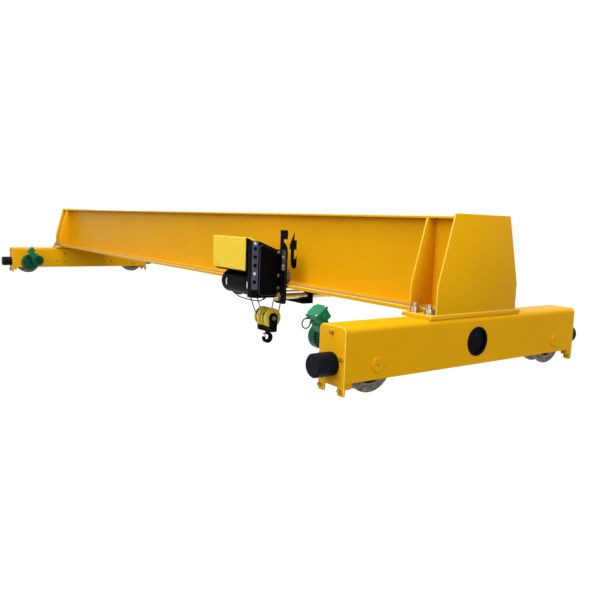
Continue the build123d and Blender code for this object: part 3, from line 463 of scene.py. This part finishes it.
# Lighter tones for the bevelled edges, painted highlights along them.
highlight_edge_tones = {
    "crane_paint": ("crane_edge_highlight", (0.93, 0.62, 0.06), (0.88, 0.55, 0.04), 0.2),
    "hoist_paint": ("hoist_edge_highlight", (0.93, 0.72, 0.12), (0.9, 0.66, 0.08), 0.25),
    "black_paint": ("black_edge_highlight", (0.012, 0.012, 0.014), (0.008, 0.008, 0.009), 0.25),
}
highlight_edge_of_slot = {slot: sprayed_enamel(*tones, 30, 700, 0.4)[0] for slot, tones in highlight_edge_tones.items()}
eased_width = {
    "girder_top_flange": 0.003,
    "girder_bottom_flange": 0.003,
    "girder_end_plates": 0.003,
    "girder_gussets": 0.003,
    "saddle_plates": 0.003,
    "carriage_end_plates": 0.003,
    "trolley_front_plate": 0.002,
    "trolley_back_plate": 0.002,
    "rope_anchor_beam": 0.002,
    "hoist_gear_housing": 0.004,
    "hoist_electrical_box": 0.004,
    "hook_block_frame": 0.001,
    "hook_block_covers": 0.003,
    "hook": 0.003,
}
for node, width in eased_width.items():
    ease_edges(node, width)
print("eased", len(eased_width), "nodes")

# %% [markdown]
# ## Nuts and bolts
# The girder is bolted to its carriages, so that it can be shipped in three pieces. A nut starts as a
# cylinder with six sides, and a bevel on its top edges takes the corners off. It stands on a washer and
# shows the end of its bolt, whose thread is a row of thin bevelled rings. One is modelled at the origin,
# and copies go where the crane has them.

# %% Helpers to model a nut and set out its copies
def open_parts(piece, kind, wanted):
    """Opens edit mode with only those corners, edges or faces selected for which wanted(part) is true."""
    take_up(piece)
    bpy.ops.object.mode_set(mode="EDIT")
    bpy.ops.mesh.select_mode(type=kind)
    bpy.ops.mesh.select_all(action="DESELECT")
    bpy.ops.object.mode_set(mode="OBJECT")
    mesh = piece.data
    for part in {"VERT": mesh.vertices, "EDGE": mesh.edges, "FACE": mesh.polygons}[kind]:
        part.select = wanted(part)
    bpy.ops.object.mode_set(mode="EDIT")


def bevel_rim(piece, wanted, width, segments=2, kind="FACE"):
    """Bevels those edges, or the edges of those faces, for which wanted(part) is true."""
    open_parts(piece, kind, wanted)
    bpy.ops.mesh.bevel(offset=width, segments=segments, affect="EDGES")
    bpy.ops.object.mode_set(mode="OBJECT")


def turned_stub(sides, width, foot, height, edge):
    """A short bar along Z with a bevelled top edge. Its width is across the flats."""
    clear_selection()
    radius, middle = width / 2 / cos(radians(180 / sides)), (0, 0, foot + height / 2)
    bpy.ops.mesh.primitive_cylinder_add(vertices=sides, radius=radius, depth=height, location=middle)
    stub = bpy.context.object
    bevel_rim(stub, lambda face: face.normal.z > 0.9, edge)
    return stub


def weld_together(pieces):
    """Joins pieces to one object."""
    clear_selection()
    for piece in pieces:
        piece.select_set(True)
    bpy.context.view_layer.objects.active = pieces[0]
    bpy.ops.object.join()
    return bpy.context.object


def nut_on_washer(width, height, bolt_rise):
    """A hexagon nut on its washer with the end of its bolt, standing on the origin."""
    washer_height = height * 0.16
    washer = turned_stub(24, width * 1.24, 0, washer_height, washer_height * 0.3)
    parts = [washer, turned_stub(6, width, washer_height, height, height * 0.1)]
    thread = 0.004
    for ring in range(int(bolt_rise / thread)):
        foot = washer_height + height + ring * thread
        parts.append(turned_stub(14, width * 0.56, foot, thread, thread * 0.45))
    return weld_together(parts)


def set_out(model, places, direction):
    """Copies a model to each place, with its top towards a direction."""
    turn = Vector((0, 0, 1)).rotation_difference(Vector(direction)).to_euler()
    copies = []
    for place in places:
        take_up(model)
        bpy.ops.object.duplicate(linked=False)
        copy = bpy.context.object
        copy.location = place
        copy.rotation_euler = turn
        copies.append(copy)
    return copies


def settle(piece, name, finish, body=None):
    """Puts the piece's place into its mesh, then names it, paints it and ties it to a body."""
    take_up(piece)
    bpy.ops.object.transform_apply(location=True, rotation=True, scale=True)
    smooth_over(piece)
    piece.name = name
    piece.data.name = name
    piece.data.materials.clear()
    piece.data.materials.append(finish)
    if body:
        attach(piece, body)
    print(name, len(piece.data.polygons), "faces")
    return piece


def put_away(model):
    """Deletes a model once its copies are set out."""
    take_up(model)
    bpy.ops.object.delete()


# %% [markdown]
# The saddle bolts are the largest on the crane: four at each end stand on the saddle plate, in the
# notches of the bottom flange. They are zinc plated, so they stay bright beside the paint.

# %% Saddle bolts
far_rail = -7.42
rails = ((0, 1), (far_rail, -1))
saddle_top, saddle_bolt_y = 0.363, 0.362
saddle_bolt_x = (-0.058, 0.052)
big_nut = nut_on_washer(0.05, 0.03, 0.024)
saddle_places = [
    (rail + outward * along, side * saddle_bolt_y, saddle_top)
    for rail, outward in rails
    for along in saddle_bolt_x
    for side in (-1, 1)
]
saddle_bolts = set_out(big_nut, saddle_places, (0, 0, 1))
put_away(big_nut)
settle(weld_together(saddle_bolts), "saddle_bolts", stud_zinc, "bridge")

# %% [markdown]
# Each carriage's end plate carries its buffer on four bolts, and a fifth holds the plate at the top. A
# painted boss stands under each bolt. The four ends of the two carriages are alike, so one list of places
# serves them all.

# %% Bolts of the carriage ends
carriage_end, boss_height = 1.0, 0.008
boss = turned_stub(24, 0.03, 0, boss_height, 0.003)
end_bolt_places = ((-0.08, 0.18), (0.08, 0.18), (-0.08, 0.021), (0.08, 0.021), (0, 0.306))
small_nut = nut_on_washer(0.019, 0.009, 0)
end_bolts, bosses = [], []
for side in (-1, 1):
    corners = [
        (rail + along, side * carriage_end, up) for rail, outward in rails for along, up in end_bolt_places
    ]
    bosses += set_out(boss, corners, (0, side, 0))
    heads = [(x, y + side * boss_height, z) for x, y, z in corners]
    end_bolts += set_out(small_nut, heads, (0, side, 0))
put_away(boss)
settle(weld_together(bosses), "end_bolt_bosses", crane_enamel, "bridge")
# The nuts are dark brown, painted shade for the shaded side of the yellow painted bolts.
settle(weld_together(end_bolts), "carriage_end_bolts", bolt_shade_brown, "bridge")

# %% [markdown]
# Between a carriage's two ears its end plate has a lip, and behind each ear a small block stiffens it
# against knocks. Both start as a cube stretched to size, and get the edges of their lower face bevelled.

# %% Braces behind the ears and lips between them
def slab(low, high):
    """A cube stretched to a box between two corners."""
    clear_selection()
    low, high = Vector(low), Vector(high)
    bpy.ops.mesh.primitive_cube_add(size=1, location=(low + high) / 2, scale=high - low)
    piece = bpy.context.object
    bpy.ops.object.transform_apply(location=True, rotation=True, scale=True)
    return piece


def looks_down(face):
    """True for a face on the underside."""
    return face.normal.z < -0.9


ear_x, brace_y, brace_z, lip_y, lip_z = 0.08, 0.967, 0.024, 0.994, 0.032
brace = slab((-0.021, -0.021, 0), (0.021, 0.021, 0.034))
bevel_rim(brace, looks_down, 0.006, 3)
brace_places = [
    (rail + along, side * brace_y, brace_z)
    for rail, outward in rails
    for along in (-ear_x, ear_x)
    for side in (-1, 1)
]
braces = set_out(brace, brace_places, (0, 0, 1))
put_away(brace)
settle(weld_together(braces), "ear_braces", crane_enamel, "bridge")
lip = slab((-0.053, -0.006, 0), (0.053, 0.006, 0.028))
bevel_rim(lip, looks_down, 0.002)
lips = set_out(lip, [(rail, side * lip_y, lip_z) for rail, outward in rails for side in (-1, 1)], (0, 0, 1))
put_away(lip)
settle(weld_together(lips), "end_plate_lips", crane_enamel, "bridge")

# %% [markdown]
# ## Axles
# A wheel's axle is a turned bar with a groove near its rim and a centre hole from the lathe. A torus gives
# the raised ring, and a thin disc with a bevelled top edge stands for the hole, dark with painted shade.

# %% Rings and centre holes on the axle caps
cap_face, axle_y, axle_z = 0.112, 0.782, 0.135
clear_selection()
bpy.ops.mesh.primitive_torus_add(major_radius=0.031, minor_radius=0.0022, major_segments=40, minor_segments=6)
ring = bpy.context.object
bpy.ops.transform.resize(value=(1, 1, 0.6))
centre = turned_stub(16, 0.008, 0, 0.0012, 0.0004)
ring_copies, hole_copies = [], []
for rail, outward in rails:
    for inner, sides in ((1, (-1, 1)), (-1, (1,))):
        faces = [(rail + outward * inner * cap_face, side * axle_y, axle_z) for side in sides]
        ring_copies += set_out(ring, faces, (outward * inner, 0, 0))
        hole_copies += set_out(centre, faces, (outward * inner, 0, 0))
put_away(ring)
put_away(centre)
settle(weld_together(ring_copies), "axle_rings", crane_enamel, "bridge")
# The dark discs are painted shade in the lathe's centre holes.
settle(weld_together(hole_copies), "axle_centre_holes", plug_plastic, "bridge")

# %% [markdown]
# The inner side of a carriage has a few small drilled holes, where cable clips can be screwed on. A hole
# this small is only a dark dot with a rim, so a thin bevelled disc stands for it, dark with painted shade.

# %% Drilled holes on the inner sides
side_face = 0.105
hole_places = ((-0.277, 0.254), (-0.389, 0.141), (-0.27, 0.14), (0.315, 0.136), (0.428, 0.135))
drilled = turned_stub(16, 0.019, 0, 0.0008, 0.0003)
drilled_copies = []
for rail, outward in rails:
    spots = [(rail - outward * side_face, along, up) for along, up in hole_places]
    drilled_copies += set_out(drilled, spots, (-outward, 0, 0))
put_away(drilled)
# The discs are dark: painted shade in the drilled holes.
settle(weld_together(drilled_copies), "carriage_side_holes", plug_plastic, "bridge")

# %% [markdown]
# ## Weld beads
# Plates of a crane are joined by fillet welds, which run along every inner corner and are painted over. The
# crane's paint serves again. Only its bump is coarser, for the fine ripples that the welder's hand leaves.

# %% Paint over a rippled weld
weld_enamel, weld_shader, weld_coordinates = sprayed_enamel("weld_enamel", crane_yellow, crane_thin, 0.3)[:3]
ripple = add_noise(weld_enamel, weld_coordinates, 160, 2)
add_dimples(weld_enamel, weld_shader, ripple, 0.002, 0.6)
print("weld paint", weld_enamel.name)

# %% [markdown]
# A bead is a bar with eight sides whose ends are rounded by a bevel. It lies in the corner, half in each
# plate. Both sides and both ends of the girder are alike, so loops lay the beads from one set of places.

# %% Lay the beads
def weld_bead(start, end, size=0.0055):
    """A bar with rounded ends from one point to another."""
    run = Vector(end) - Vector(start)
    clear_selection()
    bpy.ops.mesh.primitive_cylinder_add(vertices=8, radius=size, depth=run.length)
    bead = bpy.context.object
    bevel_rim(bead, lambda face: abs(face.normal.z) > 0.9, size * 0.6)
    bead.location = (Vector(start) + Vector(end)) / 2
    bead.rotation_euler = run.to_track_quat("Z", "Y").to_euler()
    return bead


web_y, flange_top, web_top = 0.17, 0.388, 0.895
gusset_outer_x, gusset_inner_x, end_plate_inner_x = -0.105, -0.115, 0.085
gusset_reach = 0.31
beads = []
for side in (-1, 1):
    near_foot = (gusset_inner_x, side * web_y, flange_top)
    far_foot = (far_rail - gusset_inner_x, side * web_y, flange_top)
    beads.append(weld_bead(near_foot, far_foot))
    for rail, outward in rails:
        for along in (gusset_outer_x, gusset_inner_x, end_plate_inner_x):
            x = rail + outward * along
            beads.append(weld_bead((x, side * web_y, flange_top), (x, side * web_y, web_top)))
        for along in (gusset_outer_x, gusset_inner_x):
            x = rail + outward * along
            beads.append(weld_bead((x, side * web_y, flange_top), (x, side * gusset_reach, flange_top)))
        pocket = [(rail + outward * x, side * web_y, flange_top) for x in (gusset_outer_x, end_plate_inner_x)]
        beads.append(weld_bead(*pocket))
settle(weld_together(beads), "weld_beads", weld_enamel, "bridge")

# %% [markdown]
# ## Travel drives
# A terminal box's lid is held by a screw in each corner. The box leans with the motor, so its own two
# directions place the screws: one stands up from the lid, and the other runs up its slope. A screw is a
# short turned bar with its top edge taken off.

# %% Screws in the terminal boxes' lids
lean = Vector((0, -0.60182, 0.79864))
up_slope = Vector((0, 0.79864, 0.60182))
lid_rise, lid_shift, screw_x, screw_y = 0.126, 0.02, 0.045, 0.038
seat_near, seat_far = Vector((-0.315, -0.80957, 0.25383)), Vector((-7.105, -0.76201, 0.22471))
lid_screw = turned_stub(12, 0.011, 0, 0.004, 0.0012)
lid_places = [
    seat + lean * lid_rise + up_slope * (lid_shift + across * screw_y) + Vector((along * screw_x, 0, 0))
    for seat in (seat_near, seat_far)
    for along in (-1, 1)
    for across in (-1, 1)
]
lid_screws = set_out(lid_screw, lid_places, lean)
put_away(lid_screw)
settle(weld_together(lid_screws), "terminal_lid_screws", zinc_bright, "bridge")

# %% [markdown]
# On the side of each box a round boss is left for a second cable. It has the box's paint, and a bevel
# rounds its rim, as a casting's is. The same two directions find its place.

# %% Conduit bosses on the terminal boxes
conduit = turned_stub(24, 0.044, 0, 0.012, 0.003)
conduit_rise, conduit_x = 0.084, 0.049
conduits = []
for seat, outward in ((seat_near, 1), (seat_far, -1)):
    place = seat + lean * conduit_rise + up_slope * lid_shift + Vector((outward * conduit_x, 0, 0))
    conduits += set_out(conduit, [place], (outward, 0, 0))
put_away(conduit)
# The bosses share the boxes' lighter green, the painted reflection.
settle(weld_together(conduits), "terminal_conduit_bosses", box_lit_enamel, "bridge")

# %% [markdown]
# A fan at the motor's end draws air in through its cowl, behind a wire guard. The guard is three rings with
# six spokes, all inside the cowl's recess. A torus is a ring as it is, and the weld's bar serves as a spoke.

# %% Wire guards on the fan cowls
guard_wire, guard_radii = 0.0016, (0.014, 0.03, 0.046)
guard_parts = []
for radius in guard_radii:
    clear_selection()
    bpy.ops.mesh.primitive_torus_add(
        major_radius=radius, minor_radius=guard_wire, major_segments=36, minor_segments=6
    )
    guard_parts.append(bpy.context.object)
for turn in range(0, 180, 60):
    reach = Vector((cos(radians(turn)), sin(radians(turn)), 0)) * guard_radii[-1]
    guard_parts.append(weld_bead(-reach, reach, guard_wire))
guard = weld_together(guard_parts)
take_up(guard)
bpy.ops.object.transform_apply(location=True, rotation=True, scale=True)
near_fan, far_fan = (-0.4182, -0.77226, 0.20432), (-7.0018, -0.7247, 0.1752)
guards = set_out(guard, [near_fan], (-1, 0, 0)) + set_out(guard, [far_fan], (1, 0, 0))
put_away(guard)
settle(weld_together(guards), "fan_guards", black_enamel, "bridge")

# %% [markdown]
# The near motor's lead leaves its terminal box, makes one small loop and goes back in. It is a free cord:
# a NURBS curve with the route's own points as control points, given a round section. The far end goes back
# into the object.

# %% The near motor's lead
def lay_cord(name, points, diameter):
    """A round cord on one open NURBS spline."""
    line = bpy.data.curves.new(name, "CURVE")
    line.dimensions = "3D"
    spline = line.splines.new("NURBS")
    spline.points.add(len(points) - 1)
    for knot, point in zip(spline.points, points):
        knot.co = (*point, 1)
    spline.order_u = 3
    spline.use_endpoint_u = True
    spline.resolution_u = 10
    line.bevel_depth = diameter / 2
    line.bevel_resolution = 4
    line.use_fill_caps = True
    cord = bpy.data.objects.new(name, line)
    scene.collection.objects.link(cord)
    line.materials.append(cable_rubber)
    print(name, len(points), "points")
    return cord


loop_middle = Vector((-0.355, -0.903646, 0.288122))
loop_reach, loop_diameter = 0.028988, 0.007
loop_points = [
    loop_middle + loop_reach * (cos(radians(turn)) * up_slope + sin(radians(turn)) * lean)
    for turn in range(45, 316, 30)
]
motor_lead = lay_cord("motor_lead", loop_points, loop_diameter)
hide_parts("near_motor_lead")
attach(motor_lead, "bridge")

# %% [markdown]
# The hoist's lead leaves the drum's cover, hangs in a shallow sag below it and goes into the gear housing.
# It is alike at both ends, so only one half is written down. The other half is that one, mirrored.

# %% The hoist's lead
sag = ((0, 0), (0.01414, 0.009), (0.0606, 0.019), (0.12524, 0.0235), (0.202, 0.025))
lead_span, lead_start, lead_y, lead_top = 0.404, -1.853, -0.49, 0.275
sag_points = [(lead_start + along, lead_y, lead_top - drop) for along, drop in sag]
lead_end = lead_start + lead_span
sag_points += [(lead_end - along, lead_y, lead_top - drop) for along, drop in reversed(sag[:-1])]
drum_lead = lay_cord("drum_lead", sag_points, 0.008)
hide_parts("hoist_lead")
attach(drum_lead, "trolley")

# %% [markdown]
# ## Wire rope
# Six strands twisted round a core make a wire rope. A lobed outline is pushed out in small steps, and
# turned a little at each one, which lays the strands in a spiral. The falls hang from the drum to the hook
# block, so they blend between the two bodies and grow longer as the hook goes down.

# %% Falls between the drum, the block and the anchor beam
rope_radius, strand_step, strand_turn = 0.005, 0.0055, 30
strands, points_of_strand, groove_depth = 6, 3, 0.7
fall_x = (-1.847, -1.743)


def wire_rope(start, end):
    """A taut rope of six strands from one point to another."""
    run = Vector(end) - Vector(start)
    steps = round(run.length / strand_step)
    clear_selection()
    corners = strands * points_of_strand
    bpy.ops.mesh.primitive_circle_add(vertices=corners, radius=rope_radius, fill_type="NGON")
    rope = bpy.context.object
    open_parts(rope, "VERT", lambda corner: corner.index % points_of_strand == 0)
    bpy.ops.transform.resize(value=(groove_depth, groove_depth, 1))
    bpy.ops.mesh.select_mode(type="FACE")
    bpy.ops.mesh.select_all(action="SELECT")
    for step in range(steps):
        bpy.ops.mesh.extrude_region_move(TRANSFORM_OT_translate={"value": (0, 0, run.length / steps)})
        bpy.ops.transform.rotate(value=radians(strand_turn), orient_axis="Z", center_override=(0, 0, 0))
    bpy.ops.mesh.select_all(action="SELECT")
    bpy.ops.mesh.normals_make_consistent(inside=False)
    bpy.ops.object.mode_set(mode="OBJECT")
    rope.location = start
    rope.rotation_euler = run.to_track_quat("Z", "Y").to_euler()
    return rope


drum_end, sheave_front = (-0.42306, 0.40233), (-0.28268, 0.05845)
anchor_end, sheave_back = (-0.13, 0.235), (-0.16397, 0.06947)
for name, node, top, foot in (
    ("front_ropes", "front_rope_falls", drum_end, sheave_front),
    ("back_ropes", "back_rope_falls", anchor_end, sheave_back),
):
    ropes = weld_together([wire_rope((x, *top), (x, *foot)) for x in fall_x])
    settle(ropes, name, rope_wire)
    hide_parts(node)
    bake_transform(ropes, "trolley", "hook_block", start=(fall_x[0], *top), end=(fall_x[0], *foot))

# %% [markdown]
# On the drum the rope lies in a spiral, one turn beside the next. A Screw modifier sweeps a small circle
# round the drum's axis and moves it along by one pitch in each turn.

# %% Turns of rope on the drum
drum_y, drum_z, drum_rope_radius = -0.49, 0.375, 0.0723
turns_from, turn_pitch, turns = -1.894, 0.0112, 33
clear_selection()
bpy.ops.mesh.primitive_circle_add(
    vertices=8, radius=rope_radius, location=(turns_from, drum_y, drum_z), rotation=(radians(90), 0, 0)
)
coil = bpy.context.object
bpy.ops.object.transform_apply(location=False, rotation=True, scale=False)
bpy.ops.object.mode_set(mode="EDIT")
bpy.ops.mesh.select_all(action="SELECT")
bpy.ops.transform.translate(value=(0, 0, drum_rope_radius))
bpy.ops.object.mode_set(mode="OBJECT")
bpy.ops.object.modifier_add(type="SCREW")
winding = coil.modifiers[-1]
winding.axis = "X"
winding.screw_offset = turn_pitch
winding.iterations = turns
winding.steps = 24
winding.render_steps = 24
bpy.ops.object.modifier_apply(modifier=winding.name)
bpy.ops.object.mode_set(mode="EDIT")
bpy.ops.mesh.select_all(action="SELECT")
bpy.ops.mesh.remove_doubles(threshold=0.00001)
bpy.ops.mesh.fill_holes(sides=12)
bpy.ops.mesh.normals_make_consistent(inside=False)
bpy.ops.object.mode_set(mode="OBJECT")
settle(coil, "rope_on_drum", rope_wire, "trolley")

# %% [markdown]
# In the hook block the rope goes round each sheave for less than half a turn. A spin sweeps a filled circle
# about an axis, as the screw did, only without the pitch. The helper says which way the spin went, so that
# the piece can be turned to its place.

# %% Rope round the sheaves
hook_y, sheave_z, sheave_rope = -0.225, 0.082, 0.0623
wrap_from, wrap_turn = 202.2, 146.2


def spun(profile, turn, steps):
    """Spins a flat profile about the X axis of the origin, and says which way it went."""
    take_up(profile)
    bpy.ops.object.transform_apply(location=True, rotation=True, scale=True)
    bpy.ops.object.mode_set(mode="EDIT")
    bpy.ops.mesh.select_all(action="SELECT")
    bpy.ops.mesh.spin(steps=steps, angle=radians(turn), center=(0, 0, 0), axis=(1, 0, 0))
    bpy.ops.mesh.select_all(action="SELECT")
    bpy.ops.mesh.remove_doubles(threshold=0.00001)
    bpy.ops.mesh.normals_make_consistent(inside=False)
    bpy.ops.object.mode_set(mode="OBJECT")
    heights = [vertex.co.z for vertex in profile.data.vertices]
    return 1 if max(heights) > -min(heights) else -1


wraps = []
for x in fall_x:
    clear_selection()
    bpy.ops.mesh.primitive_circle_add(
        vertices=10, radius=rope_radius, fill_type="NGON", location=(0, sheave_rope, 0)
    )
    wrap = bpy.context.object
    way = spun(wrap, wrap_turn, 20)
    wrap.rotation_euler = (radians(wrap_from if way > 0 else wrap_from + wrap_turn), 0, 0)
    wrap.location = (x, hook_y, sheave_z)
    wraps.append(wrap)
settle(weld_together(wraps), "rope_round_sheaves", rope_wire, "hook_block")

# %% [markdown]
# The rope's other ends are held by sockets under the anchor beam. A socket is a wide collar with a narrower
# throat on it, and it leans the way that its rope runs.

# %% Sockets under the anchor beam
collar = turned_stub(16, 0.03, 0, 0.02, 0.004)
throat = turned_stub(16, 0.02, 0.018, 0.02, 0.003)
socket = weld_together([collar, throat])
rope_drop = 0.1655
rope_lean = (0, sheave_back[0] - anchor_end[0], -rope_drop)
sockets = set_out(socket, [(x, *anchor_end) for x in fall_x], rope_lean)
put_away(socket)
settle(weld_together(sockets), "rope_sockets", zinc_bright, "trolley")

# %% [markdown]
# ## Hoist
# The black gear housing has a raised cover on its side with rounded corners. The cover starts as a cube. Its
# top is sloped as the housing's is, its corners are bevelled round, and then so is the rim of its face. The
# rim gets the lighter black of the edge paint, a painted highlight along it.

# %% Cover on the side of the gear housing
def lower_back_edge(piece, back, top, drop):
    """Slopes a slab's top by moving its top back edge down."""
    open_parts(piece, "VERT", lambda corner: corner.co.y > back - 0.001 and corner.co.z > top - 0.001)
    bpy.ops.transform.translate(value=(0, 0, -drop))
    bpy.ops.object.mode_set(mode="OBJECT")


def runs_through(edge):
    """True for an edge of the cover that runs along X, from its face to its back."""
    first, second = (panel.data.vertices[index].co for index in edge.vertices)
    return abs(first.x - second.x) > 0.001


housing_side, cover_face, cover_back, cover_top = -1.408, -1.397, -0.404, 0.685
panel = slab((housing_side, -0.562, 0.305), (cover_face, cover_back, cover_top))
lower_back_edge(panel, cover_back, cover_top, 0.058)
bevel_rim(panel, runs_through, 0.032, 6, "EDGE")
bevel_rim(panel, lambda face: face.normal.x > 0.9, 0.008, 3)
settle(panel, "housing_side_panel", black_enamel, "trolley")
# The rim's faces get the lighter black: a painted highlight.
panel.data.materials.append(highlight_edge_of_slot["black_paint"])
for face in panel.data.polygons:
    face.material_index = int(abs(face.normal.x) < 0.95)

# %% [markdown]
# A black frame closes the gap between the yellow box and the housing, and a flat bar carries the box from
# below. Both are slabs with one face's edges bevelled, and the frame's top slopes with the box.

# %% Frame and support bar of the electrical box
plate_face, frame_top = -0.38, 0.72
frame_plate = slab((-1.53, -0.603, 0.475), (-1.51, plate_face, frame_top))
lower_back_edge(frame_plate, plate_face, frame_top, 0.1)
bevel_rim(frame_plate, lambda face: face.normal.x < -0.9, 0.004)
settle(frame_plate, "box_end_frame", black_enamel, "trolley")
support_bar = slab((-1.985, -0.592, 0.4655), (-1.56, -0.4, 0.477))
bevel_rim(support_bar, looks_down, 0.003)
settle(support_bar, "box_support_bar", black_enamel, "trolley")

# %% [markdown]
# A grey strip for the limit switch stands on the trolley's front plate, with nuts on it. More nuts hold the
# housing to the plate, the strip with holes to the housing, and the trolley's wheels to its back plate. They
# are all copies of the small nut from the carriage ends, in yellow zinc or in plain steel.

# %% Limit switch strip and the hoist's nuts
strip_x, strip_front = -1.356, -0.387
side_strip = slab((-1.374, strip_front, 0.49), (-1.337, plate_face, 0.636))
bevel_rim(side_strip, lambda face: face.normal.y < -0.9, 0.0025)
settle(side_strip, "limit_switch_strip", paints["strip_enamel"], "trolley")
strip_nuts = set_out(small_nut, [(strip_x, strip_front, 0.587)], (0, -1, 0))
strip_nuts += set_out(small_nut, [(housing_side, -0.392, up) for up in (0.36, 0.452, 0.62)], (1, 0, 0))
settle(weld_together(strip_nuts), "housing_bolts", zinc_yellow, "trolley")
plate_nuts = set_out(small_nut, [(strip_x, strip_front, up) for up in (0.525, 0.505)], (0, -1, 0))
roller_x, roller_z = (-2.015, -1.415), 0.4433
plate_nuts += set_out(small_nut, [(x, -plate_face, roller_z) for x in roller_x], (0, 1, 0))
strip_thickness, diagonal = 0.006, 0.707
strip_face = diagonal * strip_thickness
hole_x, hole_y = -1.425 + strip_face, -0.583 - strip_face
plate_nuts += set_out(small_nut, [(hole_x, hole_y, up) for up in (0.681, 0.465)], (1, -1, 0))
settle(weld_together(plate_nuts), "plate_nuts", nut_steel, "trolley")
put_away(small_nut)

# %% [markdown]
# Two bright clasps hold the drum's round cover. A clasp is a thin strip that follows the cover for about a
# tenth of a turn: its end face is spun about the drum's axis.

# %% Clasps on the drum's cover
clasp_x, clasp_turn, cover_radius = (-1.838, -1.529), 32, 0.09
clasp_half, clasp_thickness = 0.007, 0.004
clasps = []
for x in clasp_x:
    clasp = slab((-clasp_half, cover_radius, 0), (clasp_half, cover_radius + clasp_thickness, 0.001))
    open_parts(clasp, "FACE", lambda face: face.normal.z < 0.9)
    bpy.ops.mesh.delete(type="FACE")
    bpy.ops.object.mode_set(mode="OBJECT")
    way = spun(clasp, clasp_turn, 10)
    clasp.rotation_euler = (radians(180 - way * clasp_turn / 2), 0, 0)
    clasp.location = (x, drum_y, drum_z)
    clasps.append(clasp)
settle(weld_together(clasps), "drum_cover_clasps", zinc_bright, "trolley")

# %% [markdown]
# ## Capacity mark
# The safe load stands on the web in plain black letters, five tonnes. A text object gives the letters. It
# is turned to a mesh, stretched to the mark's height and width, and stood a hair in front of the paint.

# %% Paint the mark
paint_lift, depth_scale = 0.0003, 0.3


def painted_letter(letter, left, right, foot, top):
    """One letter as a thin mesh that fills a box on the front web."""
    clear_selection()
    bpy.ops.object.text_add()
    sign = bpy.context.object
    sign.data.body = letter
    sign.data.offset = 0.052
    sign.data.extrude = 0.002
    bpy.ops.object.convert(target="MESH")
    sign = bpy.context.object
    lows = [min(vertex.co[axis] for vertex in sign.data.vertices) for axis in (0, 1)]
    highs = [max(vertex.co[axis] for vertex in sign.data.vertices) for axis in (0, 1)]
    wide, tall = (right - left) / (highs[0] - lows[0]), (top - foot) / (highs[1] - lows[1])
    sign.scale = (wide, tall, depth_scale)
    sign.rotation_euler = (radians(90), 0, 0)
    sign.location = (left - lows[0] * wide, -web_y - paint_lift, foot - lows[1] * tall)
    return sign


letters = [painted_letter("5", -1.735, -1.612, 0.49, 0.779), painted_letter("t", -1.592, -1.495, 0.49, 0.77)]
settle(weld_together(letters), "capacity_mark", black_enamel, "bridge")
